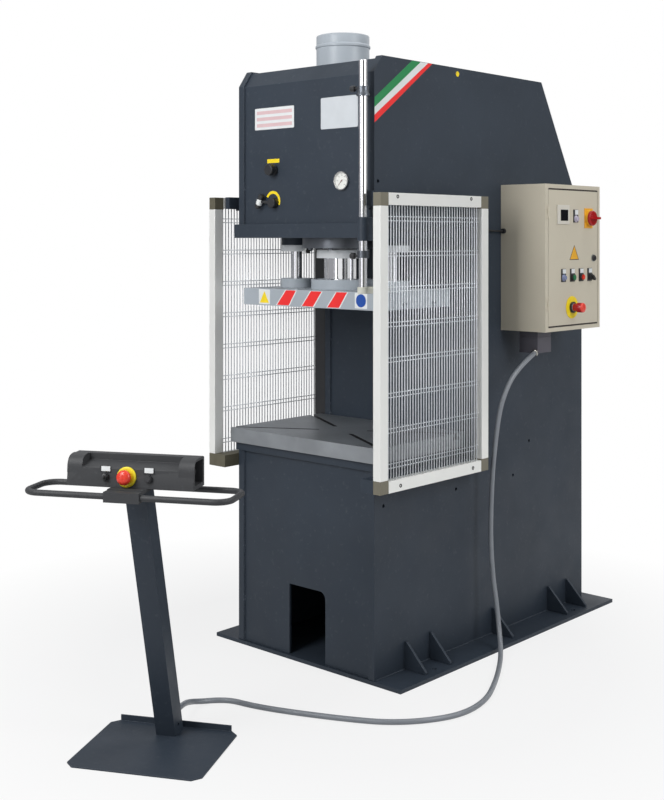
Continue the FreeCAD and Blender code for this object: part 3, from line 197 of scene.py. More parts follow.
def ramped(tree, value, low, high, out_low=0.0, out_high=1.0):
    """A value's range from low to high, drawn out to another range and held at its ends."""
    return node(tree, "ShaderNodeMapRange", [
        ("Value", value), ("From Min", low), ("From Max", high),
        ("To Min", out_low), ("To Max", out_high)]).outputs[0]


def seen_directly(tree):
    """1 for rays from the camera, from a mirror or through glass, and 0 for light on its way."""
    rays = node(tree, "ShaderNodeLightPath").outputs
    either = maths(tree, "MAXIMUM", rays["Is Camera Ray"], rays["Is Glossy Ray"])
    return maths(tree, "MAXIMUM", either, rays["Is Transmission Ray"])


def emptied(owner):
    """The node tree of a world or material, without the nodes that it starts with."""
    owner.use_nodes = True
    owner.node_tree.nodes.clear()
    return owner.node_tree

# %% [markdown]
# ### Sky
# The sky is dimmer overhead than at the sides, so that upright faces look lit from the room. The camera
# sees plain white in its place.

# %% Make the sky
WHITE_LIGHT = [("Color", (1, 1, 1, 1)), ("Strength", 1.0)]
SIDE_LIGHT, TOP_LIGHT = 0.56, 0.26
scene.world = bpy.data.worlds.new("studio")
sky = emptied(scene.world)
compass = node(sky, "ShaderNodeTexCoord").outputs["Generated"]
upward = node(sky, "ShaderNodeSeparateXYZ", [(0, compass)]).outputs["Z"]
soft = node(sky, "ShaderNodeBackground", [
    ("Color", (0.93, 0.97, 1.0, 1)),
    ("Strength", ramped(sky, upward, 0.15, 0.85, SIDE_LIGHT, TOP_LIGHT))])
plain = node(sky, "ShaderNodeBackground", WHITE_LIGHT)
mixed = node(sky, "ShaderNodeMixShader", [(0, seen_directly(sky)), (1, soft.outputs[0]),
                                          (2, plain.outputs[0])])
node(sky, "ShaderNodeOutputWorld", [(0, mixed.outputs[0])])
print("sky", SIDE_LIGHT, "at the sides and", TOP_LIGHT, "overhead")

# %% [markdown]
# ### Floor
# The floor is a real diffuse surface where light falls on it. The camera sees it mixed with plain white,
# more so further from the press, so that there is no horizon.

# %% Make the floor
floor_look = bpy.data.materials.new("studio_floor")
ground = emptied(floor_look)
spot = node(ground, "ShaderNodeTexCoord").outputs["Object"]
reach = node(ground, "ShaderNodeVectorMath", [(0, spot)], operation="LENGTH").outputs["Value"]
whiteness = ramped(ground, reach, 1.0, 2.2, 0.80, 1.0)
share = maths(ground, "MULTIPLY", whiteness, seen_directly(ground))
matt = node(ground, "ShaderNodeBsdfDiffuse", [("Color", (0.60, 0.60, 0.61, 1))])
white = node(ground, "ShaderNodeEmission", WHITE_LIGHT)
ground_mix = node(ground, "ShaderNodeMixShader", [(0, share), (1, matt.outputs[0]),
                                                  (2, white.outputs[0])])
node(ground, "ShaderNodeOutputMaterial", [(0, ground_mix.outputs[0])])

floor_form = bmesh.new()
bmesh.ops.create_grid(floor_form, x_segments=1, y_segments=1, size=30)
floor = shown("studio_floor", mesh_of("studio_floor", floor_form, floor_look))
floor.location = (0.1, -0.6, -0.0006)
print("floor centred at", [round(v, 4) for v in floor.location])

# %% [markdown]
# ### Lamps
# Three soft boxes light the press, as in a photographer's studio: one in front, one at the right and one
# above. Each is a large rectangle, because a small lamp would throw hard shadows that the photograph
# doesn't have. They stay at a plain level, at which a paint renders as it is mixed.

# %% Hang the lamps
def lamp(name, at, towards, wide, tall, power):
    """A soft box that looks at a point."""
    light = shown(name, bpy.data.lights.new(name, "AREA"))
    light.data.shape = "RECTANGLE"
    light.data.size, light.data.size_y = wide, tall
    light.data.energy = power
    light.location = at
    light.rotation_euler = (Vector(towards) - Vector(at)).to_track_quat("-Z", "Y").to_euler()


LAMPS = (("front_softbox", (0.10, -3.9, 3.1), (0, -0.7, 1.8), 1.2, 2.4, 92),
         ("right_softbox", (4.2, -0.2, 3.2), (0.4, 0, 1.8), 1.2, 2.4, 72),
         ("top_softbox", (0.9, 0.9, 5.2), (0, -0.2, 1.2), 2.2, 2.2, 44))
for row in LAMPS:
    lamp(*row)
scene.view_settings.view_transform = "Standard"
print(len(LAMPS), "lamps")

# %% [markdown]
# ### Reflected screens
# A chrome bar has hardly any colour of its own: it shows the room. In an all-white room it would look
# like chalk, so a photographer puts dark and grey screens round the machine. Here each screen is a piece
# of a wide cylinder wall that only mirror rays see, so that it neither shades the press nor shows in
# the picture.

# %% Put up the screens that the chrome reflects
SCREEN_DISTANCE, SCREEN_HEIGHTS = 9, (-1, 6)


def screen(name, start, end, grey):
    """A tall screen round the cylinder, between two compass angles in degrees from the X axis."""
    look = bpy.data.materials.new(name)
    tree = emptied(look)
    glow = node(tree, "ShaderNodeEmission", [("Color", (grey, grey, grey * 1.06, 1))])
    node(tree, "ShaderNodeOutputMaterial", [(0, glow.outputs[0])])
    form = bmesh.new()
    steps = max(2, round((end - start) / 6))
    columns = []
    for step in range(steps + 1):
        angle = math.radians(start + (end - start) * step / steps)
        x, y = SCREEN_DISTANCE * math.cos(angle), SCREEN_DISTANCE * math.sin(angle) + CYLINDER_Y
        columns.append([form.verts.new((x, y, height)) for height in SCREEN_HEIGHTS])
    for near, far in zip(columns, columns[1:]):
        form.faces.new((near[0], near[1], far[1], far[0]))
    wall = shown(name, mesh_of(name, form, look))
    wall.visible_camera = wall.visible_diffuse = wall.visible_transmission = False
    wall.visible_shadow = wall.visible_volume_scatter = False


SCREENS = ((-104, -98, 0.06), (-98, -88, 2.6), (-88, -80, 0.06), (-52, -21, 0.05), (-2, 8, 2.2),
           (8, 20, 0.35), (45, 70, 0.06), (132, 254, 0.38))
for number, row in enumerate(SCREENS):
    screen(f"reflected_screen_{number}", *row)
print(len(SCREENS), "reflected screens")

# %% [markdown]
# ## Finishes
# Every surface gets a procedural finish that reads Object coordinates, so a pattern keeps its real size
# in metres wherever it lies. Each finish is a slow drift of colour, a change in gloss and a fine bump at
# the scale that the real surface has. Uniform values sit on the shader's own sockets.

# %% Helpers for finishes
def tone(red, green, blue):
    """A colour given in 0 to 255, as the linear value that a shader wants."""
    return tuple((v / 255 / 12.92) if v <= 10 else ((v / 255 + 0.055) / 1.055) ** 2.4
                 for v in (red, green, blue))


def scaled(colour, amount):
    """A lighter or darker version of a colour."""
    return tuple(min(1.0, v * amount) for v in colour)


print("middle grey is", round(tone(128, 128, 128)[0], 3), "in linear light")


class Finish:
    """A material under construction: the shader, the place it reads and its growing bump."""

    def __init__(self, name, colour, roughness, metal=0.0):
        self.look = bpy.data.materials.new(name)
        self.look.use_nodes = True
        self.tree = self.look.node_tree
        self.shader = self.tree.nodes["Principled BSDF"]
        self.shader.inputs["Base Color"].default_value = (*colour, 1)
        self.shader.inputs["Roughness"].default_value = roughness
        self.shader.inputs["Metallic"].default_value = metal
        self.colour, self.roughness = colour, roughness
        self.paint = (*colour, 1)
        self.normal = None
        self.place = node(self.tree, "ShaderNodeTexCoord").outputs["Object"]

    def noise(self, scale, detail=2.0, stretch=None, rough=0.55):
        """Noise whose features are 1 / scale metres across, stretched along an axis if asked."""
        place = self.place
        if stretch:
            place = node(self.tree, "ShaderNodeMapping", [(0, place), ("Scale", stretch)]).outputs[0]
        return node(self.tree, "ShaderNodeTexNoise",
                    [("Vector", place), ("Scale", scale), ("Detail", detail),
                     ("Roughness", rough)]).outputs[0]

    def blend(self, share, colour):
        """Lays another colour over the paint where share is high."""
        mix = node(self.tree, "ShaderNodeMix", [(0, share), (6, self.paint), (7, (*colour, 1))],
                   data_type="RGBA")
        self.paint = mix.outputs[2]
        self.tree.links.new(self.paint, self.shader.inputs["Base Color"])

    def drift(self, scale, amount, detail=3.0):
        """A slow change from a little darker to a little lighter."""
        cloud = ramped(self.tree, self.noise(scale, detail), 0.3, 0.7)
        self.blend(1.0, scaled(self.colour, 1 - amount))
        self.blend(cloud, scaled(self.colour, 1 + amount))

    def gloss(self, scale, spread, detail=3.0, stretch=None):
        """Roughness that wanders either side of its plain value."""
        cloud = self.noise(scale, detail, stretch)
        value = ramped(self.tree, cloud, 0.3, 0.7, self.roughness - spread, self.roughness + spread)
        self.tree.links.new(value, self.shader.inputs["Roughness"])

    def grain(self, scale, depth, detail=2.0, stretch=None):
        """Raises the surface by a noise, depth metres from low to high, over any grain before it."""
        made = node(self.tree, "ShaderNodeBump", [
            ("Strength", 1.0), ("Distance", depth), ("Height", self.noise(scale, detail, stretch))])
        if self.normal:
            self.tree.links.new(self.normal, made.inputs["Normal"])
        self.normal = made.outputs[0]
        self.tree.links.new(self.normal, self.shader.inputs["Normal"])

    def shine(self, level):
        """How strongly a surface that is no metal mirrors the room."""
        self.shader.inputs["Specular IOR Level"].default_value = level


# %% [markdown]
# ### Paints
# The frame wears a dark blue-grey powder coat with a fine leather-like skin and faint runs of lighter
# dust. On the edges the coat is thinner and a little shinier, and here and there it is rubbed to a paler
# tone, so edge strips get their own version of each paint.

# %% Mix the paints
def paint(name, colour, roughness, skin=0.00012, drift=0.10, dust=0.05):
    coat = Finish(name, colour, roughness)
    coat.drift(2.6, drift, 4.0)
    if dust:
        specks = ramped(coat.tree, coat.noise(55, 5.0), 0.60, 0.80, 0.0, dust)
        coat.blend(specks, tone(190, 192, 194))
    coat.gloss(7, 0.07, 4.0)
    coat.grain(520, skin, 3.0)
    coat.grain(90, skin * 0.9)
    coat.shine(0.25)
    return coat.look


def rubbed(name, colour, roughness, below, amount):
    """The same paint along an edge: thinner, glossier and rubbed through in places."""
    coat = Finish(name, scaled(colour, 1.12), roughness - 0.08)
    coat.drift(6, 0.08)
    chips = ramped(coat.tree, coat.noise(60, 5.0, rough=0.7), 0.60, 0.68, 0.0, amount)
    coat.blend(chips, below)
    coat.gloss(30, 0.06)
    coat.grain(300, 0.00010)
    coat.shine(0.3)
    return coat.look


def coats(stem, rgb, roughness, below, edge_roughness=None, amount=0.6, kind="paint", **surface):
    """A paint for the faces and its rubbed version for the edges."""
    colour = tone(*rgb)
    return (paint(f"{stem}_{kind}", colour, roughness, **surface),
            rubbed(f"{stem}_edges", colour, edge_roughness or roughness, tone(*below), amount))


FINISHES = {
    "anthracite_paint": coats("anthracite", (47, 55, 65), 0.50, (110, 118, 128), kind="powder_coat"),
    "light_grey_paint": coats("ram_grey", (167, 174, 181), 0.32, (150, 154, 158), 0.40,
                              skin=0.00006, drift=0.05, dust=0.03),
    "cabinet_paint": coats("cabinet_beige", (200, 192, 174), 0.42, (176, 168, 150), amount=0.3,
                           skin=0.00008, drift=0.03, dust=0.0),
    "tank_grey": coats("tank_grey", (96, 102, 108), 0.5, (140, 140, 138),
                       skin=0.0001, drift=0.08, dust=0.12),
    "console_coat": coats("console", (58, 59, 61), 0.5, (120, 124, 128), kind="coat"),
    # The ring's grey is lighter than its own light grey: painted light that makes up for the shade under
    # the head's overhang.
    "ring_white": coats("lightened_ring_grey", (226, 228, 230), 0.30, (190, 192, 194), 0.36,
                        skin=0.00004, drift=0.03, dust=0.02),
    "arm_paint": coats("arm_pale", (202, 202, 190), 0.42, (150, 150, 144),
                       skin=0.00006, drift=0.04, dust=0.03),
}
print(len(FINISHES), "paints")

# %% [markdown]
# ### Metals
# Ground steel, drawn aluminium and polished chrome differ mostly in the fine lines that their tools
# leave. A noise that is squeezed hard along one axis gives such lines for both the gloss and the bump.
# Each row gives the colour, the roughness, the squeeze, the bump's depth in metres, the drift of the
# colour, the spread of the gloss and how metallic the surface is.

# %% Make the metals
EVEN = (10, 10, 10)


def metal(name, rgb, roughness, lines, depth, drift=0.05, spread=0.06, metallic=1.0):
    bar = Finish(name, tone(*rgb), roughness, metallic)
    bar.drift(5, drift)
    bar.gloss(40, spread, 2.0, lines)
    bar.grain(40, depth, 2.0, lines)
    return bar.look


METALS = {
    "bed_steel": ("ground_bed_steel", (140, 144, 148), 0.40, (18, 0.6, 18), 0.00004, 0.16, 0.10, 0.75),
    "chrome": ("hard_chrome", (228, 229, 231), 0.08, (14, 14, 1), 0.0000005, 0.02, 0.02),
    "dark_steel": ("dark_turned_steel", (92, 96, 102), 0.40, (6, 6, 40), 0.00003),
    "guard_aluminium": ("anodised_extrusion", (238, 238, 234), 0.36, (14, 14, 0.5), 0.000012, 0.02,
                        0.05, 0.30),
    "corner_grey": ("cast_corner", (116, 112, 98), 0.55, EVEN, 0.00006, 0.10, 0.08, 0.35),
    "guard_wire": ("zinc_wire", (228, 231, 235), 0.32, (10, 10, 3), 0.00002, 0.04, 0.08, 0.30),
    "gauge_steel": ("gauge_steel", (200, 200, 198), 0.24, EVEN, 0.00001),
    "flange_steel": ("flange_steel", (92, 96, 102), 0.34, EVEN, 0.00002, 0.05, 0.05, 0.6),
    "zinc_plate": ("zinc_plated_sheet", (168, 170, 166), 0.36, EVEN, 0.00002, 0.10, 0.08, 0.8),
    "cast_fitting": ("cast_fitting", (84, 82, 90), 0.55, EVEN, 0.00008, 0.08, 0.06, 0.3),
    "nickel": ("nickel_plate", (178, 176, 170), 0.22, EVEN, 0.00001, 0.03, 0.05, 0.9),
    # olive_casting is a darker copy of the corner grey: painted shade on the left guard's corners and
    # lower arm ends.
    "olive_casting": ("olive_casting", (92, 88, 72), 0.60, EVEN, 0.00008, 0.12, 0.08, 0.2),
    # slot_shade is painted shade: near black for the faces inside the bed's T-slots, where shade falls.
    "slot_shade": ("slot_wall_steel", (30, 31, 33), 0.60, EVEN, 0.00004, 0.2, 0.08, 0.5),
}
for slot, row in METALS.items():
    FINISHES[slot] = (metal(*row),) * 2
print(len(METALS), "metals")

# %% [markdown]
# ### Plastics and films
# Moulded knobs and buttons are nearly even in colour, with a soft gloss that hands have polished in
# patches and a faint eggshell grain. Printed film is smoother still. Each row gives the colour, the
# roughness and, where it isn't the usual one, the grain's depth in metres and the drift of the colour.

# %% Make the plastics and the films
def plastic(name, rgb, roughness, grain=0.00004, drift=0.06):
    moulding = Finish(name, tone(*rgb), roughness)
    moulding.drift(18, drift)
    moulding.gloss(45, 0.06)
    moulding.grain(700, grain)
    return moulding.look


PLASTICS = {
    "black_plastic": ("black_moulding", (30, 31, 34), 0.46),
    "red_plastic": ("red_moulding", (222, 56, 34), 0.26, 0.00002),
    "green_plastic": ("green_moulding", (22, 112, 66), 0.30, 0.00002),
    "yellow_plastic": ("yellow_moulding", (230, 210, 34), 0.40, 0.00002),
    "needle_orange": ("needle_lacquer", (120, 74, 56), 0.45, 0.00002),
    "conduit_grey": ("conduit_grey_skin", (126, 130, 136), 0.40, 0.00006),
    "signal_yellow": ("signal_yellow_plate", (232, 170, 34), 0.42, 0.00002),
    # This white is the bright flange plug's colour and, on the valve lever, a painted highlight.
    "white_moulding": ("white_moulding", (226, 228, 226), 0.40, 0.00002, 0.02),
    "frame_moulding": ("frame_moulding", (210, 205, 194), 0.40, 0.00002, 0.02),
    "lilac_lens": ("lilac_lens", (182, 174, 192), 0.22, 0.00001, 0.04),
    "blue_lens": ("blue_grey_lens", (118, 128, 162), 0.22, 0.00001, 0.04),
    # This deep red is the main switch knob's own colour. On the cabinet stop's sides it is painted
    # shade.
    "dark_red_knob_and_stop_side_shade": ("deep_red_moulding", (168, 14, 18), 0.24, 0.00002),
    "bright_red": ("bright_red_moulding", (226, 62, 46), 0.30, 0.00002),
    "dial_white": ("dial_face", (232, 232, 226), 0.50, 0.00001, 0.02),
    "window_black": ("window_black", (16, 17, 20), 0.12, 0.000005),
    "film_white": ("film_white", (224, 226, 226), 0.38, 0.00001, 0.02),
    # The near-black finish is painted shade on the guard screws, where it makes them read as dark holes.
    "screw_black": ("screw_black", (9, 9, 10), 0.75, 0.00002),
    # The door's gap strips are painted shade: a brown-black that stands in for the shadow in the gap.
    "gap_shade_brown": ("door_gasket", (40, 32, 28), 0.75, 0.00008),
}
FILMS = {"pale": ((204, 208, 212), 0.34), "pink": ((216, 184, 186), 0.38),
         "yellow": ((246, 216, 30), 0.38), "red": ((238, 40, 40), 0.38),
         "green": ((30, 132, 74), 0.38), "blue": ((16, 72, 158), 0.38),
         "black": ((26, 27, 30), 0.40)}
for colour, row in FILMS.items():
    PLASTICS[f"film_{colour}"] = (f"film_{colour}", *row, 0.00001, 0.03)
for slot, row in PLASTICS.items():
    FINISHES[slot] = (plastic(*row),) * 2
conduit.data.materials.append(FINISHES["conduit_grey"][0])
sensor_lead.data.materials.append(FINISHES["black_plastic"][0])
print(len(PLASTICS), "plastics and films")

# %% [markdown]
# ## Rounded copies of the CAD pieces
# No real edge is perfectly sharp: a saw, a grinder or a coat of paint leaves a small radius, and that
# thin bright line is what makes a metal part look heavy. A CAD piece may not be changed, so each one
# gets a copy that stands in for it. The copy's loose triangles are merged and its flat areas dissolved
# into single faces, so that a Bevel modifier finds only the real edges. The strip that the bevel makes
# takes the second finish, the rubbed edge.

# %% Helpers for rounded copies
CRISP = math.radians(34)


def welded_copy(name, cuts=(), flat=True):
    """The CAD piece's shape as one clean mesh, with flat areas whole and extra cuts if asked."""
    form = bmesh.new()
    form.from_mesh(frame["nodes"][name].data)
    bmesh.ops.remove_doubles(form, verts=form.verts, dist=0.00002)
    if flat:
        bmesh.ops.dissolve_limit(form, angle_limit=math.radians(0.6), verts=form.verts,
                                 edges=form.edges)
    for spot, towards in cuts:
        bmesh.ops.bisect_plane(form, geom=[*form.verts, *form.edges, *form.faces],
                               plane_co=spot, plane_no=towards)
    return form


def shade(form):
    """Shades gentle bends as round and keeps steeper ones crisp."""
    for face in form.faces:
        face.smooth = True
    for edge in form.edges:
        edge.smooth = len(edge.link_faces) == 2 and edge.calc_face_angle(0) < CRISP


def rounded(name, width, finishes=None, choose=None, cuts=(), flat=True):
    """A copy of a CAD piece with rounded edges; choose picks the finish of each face by its middle."""
    form = welded_copy(name, cuts, flat)
    shade(form)
    for face in form.faces:
        face.material_index = choose(face.calc_center_median()) if choose else 0
    both = finishes or FINISHES[SLOT_OF[name]]
    piece = shown(f"{name}_rounded", mesh_of(f"{name}_rounded", form, *both))
    bevel = piece.modifiers.new("edge_radius", "BEVEL")
    bevel.width = width
    bevel.segments = 2
    bevel.limit_method = "ANGLE"
    bevel.angle_limit = CRISP
    bevel.harden_normals = True
    bevel.material = -1 if choose else 1
    bevel.miter_outer = "MITER_ARC"
    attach(piece, BODY_OF[name])
    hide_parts(name)


print("edges stay crisp from", round(math.degrees(CRISP)), "degrees")

# %% [markdown]
# The radius follows the piece: a thick sawn plate has a wider one than a small knob. The tank and the
# pump are closed in, so they are only painted.

# %% Round the edges of the pieces
EDGE_RADIUS = {
    0.0018: ("side_plate_left", "side_plate_right"),
    0.0016: ("base_plate", "head_platen"),
    0.0015: ("stop_rod_guide",),
    0.0014: ("guard_bars", "ram_plate"),
    0.0012: ("base_gussets", "lower_front_panel", "bed_support_plate", "cabinet_door"),
    0.0010: ("head_cover", "rear_panel", "cylinder_barrel", "limit_switch", "pedestal_base",
             "ram_bosses", "guide_columns", "pressure_knob", "palm_button_left",
             "palm_button_right"),
    0.0008: ("column_front_panel", "piston_rod", "upper_collar_knob", "lower_stop_collar",
             "lower_collar_knob", "valve_lever", "start_button", "stop_button", "mode_selector",
             "console_selector", "console_button"),
    0.0006: ("guard_closing_strips", "stop_rod", "upper_stop_collar", "door_lock"),
    0.0001: ("gauge_needle",),
}
for width, names in EDGE_RADIUS.items():
    for name in names:
        rounded(name, width)
print(sum(len(names) for names in EDGE_RADIUS.values()), "pieces with rounded edges")

for name in ("oil_tank", "pump_motor"):
    for place in frame["nodes"][name].material_slots:
        place.material = FINISHES[SLOT_OF[name]][0]

# %% [markdown]
# ### Pieces of more than one colour
# Some CAD pieces hold parts of several colours: the fittings on the cabinet door are one rigid piece,
# but one is orange, one is white and one is a lilac lamp. Such a copy gets a list of finishes and a
# small rule that looks at where a face is. Where two colours meet inside one face, a cut divides it.

# %% Say where each colour goes
SWITCH, STOP_BUTTON = middle_of("main_switch_knob"), middle_of("cabinet_estop")
LENS_REACH, LENS_RISE = 0.0156, 0.0032
PALE_LENS, BLUE_LENS = (0.304, 1.783), (0.205, 1.530)
CONSOLE_RING = Vector((0.2952, -1.9002, 0.943))
CABINET_SPACE = (0.3752, 0.574), (0.0675, 0.5055), (1.3065, 1.9265)
CAST_BLOCK = (0.4395, 0.5325), (0.1055, 0.2105), (1.2095, 1.3045)
GLAND = (0.5, 0.6), (0.09, 0.1056), (1.19, 1.24)
BED_SLOTS = (-0.4015, 0.4015), (-0.7995, -0.2440), (0.8445, 0.9035)


def looks(*names):
    return [FINISHES[name][0] for name in names]


def off_axis(spot, first, second, axes=(1, 2)):
    """How far a point is from a line that runs along the third axis."""
    return math.hypot(spot[axes[0]] - first, spot[axes[1]] - second)


def within(spot, space):
    """Whether a point lies inside a box given as three ranges."""
    return all(low < value < high for value, (low, high) in zip(spot, space))


def bezel_finish(spot):
    """0 black, 1 signal yellow, 2 display frame, 3 pale lamp, 4 blue lamp, 5 stop's yellow."""
    if spot.x < DOOR_FACE - 0.0001:
        return 0
    if abs(spot.y - SWITCH.y) < 0.0345 and abs(spot.z - SWITCH.z) < 0.0440:
        return 1
    if 0.1515 < spot.y < 0.2485 and 1.7585 < spot.z < 1.8415:
        return 2
    if spot.x > DOOR_FACE + LENS_RISE:
        for number, lens in ((3, PALE_LENS), (4, BLUE_LENS)):
            if off_axis(spot, *lens) < LENS_REACH:
                return number
    on_disc = off_axis(spot, STOP_BUTTON.y, STOP_BUTTON.z) < 0.0485
    return 5 if on_disc and spot.x < DOOR_FACE + 0.0035 else 0


def inside_cabinet(spot):
    """0 painted sheet, 1 zinc mounting plate, 2 black devices."""
    return 0 if not within(spot, CABINET_SPACE) else 1 if spot.x < 0.3862 else 2


def fitting_finish(spot):
    """0 black, 1 cast grey block, 2 nickel gland."""
    return 1 if within(spot, CAST_BLOCK) else 2 if within(spot, GLAND) else 0


def dial_finish(spot):
    """0 the gauge's case, 1 its white dial."""
    return (abs(spot.y + 0.7765) < 0.0004
            and off_axis(spot, GAUGE.x, GAUGE.z, (0, 2)) < 0.0332)


def banded(name, width, finishes, cut_at, change_at=()):
    """A piece that changes colour at some distances from the middle, cut first where a face runs on."""
    rounded(name, width, looks(*finishes),
            lambda spot: sum(spot.x > edge for edge in (*cut_at, *change_at)),
            [((edge, 0, 0), (1, 0, 0)) for edge in cut_at])


print("main switch at", [round(v, 4) for v in SWITCH])

# %% [markdown]
# Each piece below gives its finishes in a row, and its rule answers with a place in that row. A rule
# that only says yes or no picks the second finish for yes.

# %% Colour the pieces that are more than one colour
# The cabinet stop's sides take the deep red and its front the bright red: the darker sides are painted
# shade on one red plastic.
banded("cabinet_estop", 0.0010, ("black_plastic", "film_pale", "dark_red_knob_and_stop_side_shade", "bright_red"),
       (0.6075, 0.6095), (0.6505,))
banded("main_switch_knob", 0.0012, ("signal_yellow", "dark_red_knob_and_stop_side_shade"), (0.6115,))
COLOURED = {
    "door_bezels": (0.0006, bezel_finish, "black_plastic", "signal_yellow", "frame_moulding",
                    "lilac_lens", "blue_lens", "film_yellow"),
    # The left guard's corners, and its arm ends below 0.85 m, take the darker copy of the corner grey as
    # painted shade.
    "guard_corners": (0.0016, lambda spot: spot.x < 0, "corner_grey", "olive_casting"),
    # The faces inside the bed's T-slots take slot_shade, a near-black painted shade.
    "bed_plate": (0.0012, lambda spot: within(spot, BED_SLOTS), "bed_steel", "slot_shade"),
    "guard_arms": (0.0014, lambda spot: spot.x < 0 and spot.z < 0.85,
                   "anthracite_paint", "olive_casting"),
    "pedestal_column": (0.0014, lambda spot: spot.z > 0.8735, "anthracite_paint", "console_coat"),
    "console_bezels": (0.0006, lambda spot: (spot - CONSOLE_RING).length < 0.036,
                       "black_plastic", "yellow_plastic"),
    # The gland's lower ring and the housings' lower flanges take the lightened grey, partly painted
    # light.
    "cylinder_gland": (0.0012, lambda spot: spot.z < 1.655, "flange_steel", "ring_white"),
    "guide_housings": (0.0010, lambda spot: spot.z < 1.6705, "anthracite_paint", "ring_white"),
    "pressure_gauge": (0.0007, dial_finish, "gauge_steel", "dial_white"),
    "cable_fittings": (0.0010, fitting_finish, "black_plastic", "cast_fitting", "nickel"),
}
for name, (width, rule, *names) in COLOURED.items():
    rounded(name, width, looks(*names), rule)
rounded("cabinet_body", 0.0008, looks("cabinet_paint", "zinc_plate", "black_plastic"),
        inside_cabinet, flat=False)
rounded("stop_rod_arm", 0.0014, FINISHES["arm_paint"])
rounded("hand_rail", 0.0006, FINISHES["console_coat"])
rounded("console_housing", 0.0016, FINISHES["console_coat"])
print(len(bpy.data.materials), "materials")

# %% [markdown]
# ## The guard wires
# Each side guard is a welded mesh: thirty-five upright rods with eight pairs of cross rods behind them.
# The count, the spacing and the thickness are numbers that someone may want to change, so Geometry Nodes
# draw the mesh: lines of points, one rod on each point. The result is made real before it is used.
# The first helpers make and run any such tree, and the later sections use them too.

# %% Helpers for Geometry Nodes
def node_tree(name, inputs):
    """A Geometry Nodes tree with named inputs; returns it with its input and output nodes."""
    tree = bpy.data.node_groups.new(name, "GeometryNodeTree")
    tree.interface.new_socket(name="Geometry", in_out="INPUT", socket_type="NodeSocketGeometry")
    for label, kind in inputs:
        tree.interface.new_socket(name=label, in_out="INPUT", socket_type=f"NodeSocket{kind}")
    tree.interface.new_socket(name="Geometry", in_out="OUTPUT", socket_type="NodeSocketGeometry")
    return tree, node(tree, "NodeGroupInput").outputs, node(tree, "NodeGroupOutput").inputs


def line_of(tree, count, step, start=(0, 0, 0)):
    """A straight line of points."""
    return node(tree, "GeometryNodeMeshLine", [
        ("Count", count), ("Start Location", start), ("Offset", step)]).outputs[0]


def placed(tree, points, form, **fields):
    """A copy of a form on every point, turned or scaled by a field if asked."""
    return node(tree, "GeometryNodeInstanceOnPoints", [
        ("Points", points), ("Instance", form), *fields.items()]).outputs[0]


def completed(tree, copies, finish, out):
    """Makes the copies real, gives them their finish and closes the tree."""
    real = node(tree, "GeometryNodeRealizeInstances", [(0, copies)])
    look = node(tree, "GeometryNodeSetMaterial", [("Geometry", real.outputs[0]),
                                                  ("Material", finish)])
    tree.links.new(look.outputs[0], out[0])
    return tree


def grown(name, tree, values, start=None):
    """Runs a tree on a mesh with its inputs set by identifier, and returns a plain mesh object."""
    seed = shown(f"{name}_seed", start or bpy.data.meshes.new(f"{name}_seed"))
    modifier = seed.modifiers.new("grow", "NODES")
    modifier.node_group = tree
    for item in tree.interface.items_tree:
        if item.in_out == "INPUT" and item.name in values:
            modifier[item.identifier] = values[item.name]
    bpy.context.view_layer.update()
    ready = seed.evaluated_get(bpy.context.evaluated_depsgraph_get())
    mesh = bpy.data.meshes.new_from_object(ready)
    mesh.name = name
    seed.modifiers.remove(modifier)
    bpy.data.objects.remove(seed)
    print(name, len(mesh.polygons), "faces")
    return shown(name, mesh)

# %% [markdown]
# The pitch follows from the guard's own length, so the rods stay evenly spaced. The uprights lie on the
# outer side of the guard's middle plane and the cross rods on the inner side, as in the photograph.

# %% Grow the guard wires with Geometry Nodes
def wire_tree():
    tree, given, out = node_tree("welded_mesh", [
        ("Rods", "Int"), ("First Rod", "Vector"), ("Rod Step", "Vector"), ("Rod Length", "Float"),
        ("Pairs", "Int"), ("First Pair", "Vector"), ("Pair Step", "Vector"), ("Pair Gap", "Vector"),
        ("Cross Length", "Float"), ("Radius", "Float"), ("Cross Radius", "Float"),
        ("Finish", "Material")])
    bar, cross = (node(tree, "GeometryNodeMeshCylinder", [
        ("Vertices", 8), ("Radius", given[radius]), ("Depth", given[length])]).outputs[0]
        for radius, length in (("Radius", "Rod Length"), ("Cross Radius", "Cross Length")))
    rods = placed(tree, line_of(tree, given["Rods"], given["Rod Step"], given["First Rod"]), bar)
    laid = node(tree, "GeometryNodeTransform", [("Geometry", cross),
                                                ("Rotation", (math.pi / 2, 0, 0))])
    pair = placed(tree, line_of(tree, 2, given["Pair Gap"]), laid.outputs[0])
    rows = line_of(tree, given["Pairs"], given["Pair Step"], given["First Pair"])
    both = node(tree, "GeometryNodeJoinGeometry")
    for part in (rods, placed(tree, rows, pair)):
        tree.links.new(part, both.inputs[0])
    return completed(tree, both.outputs[0], given["Finish"], out)


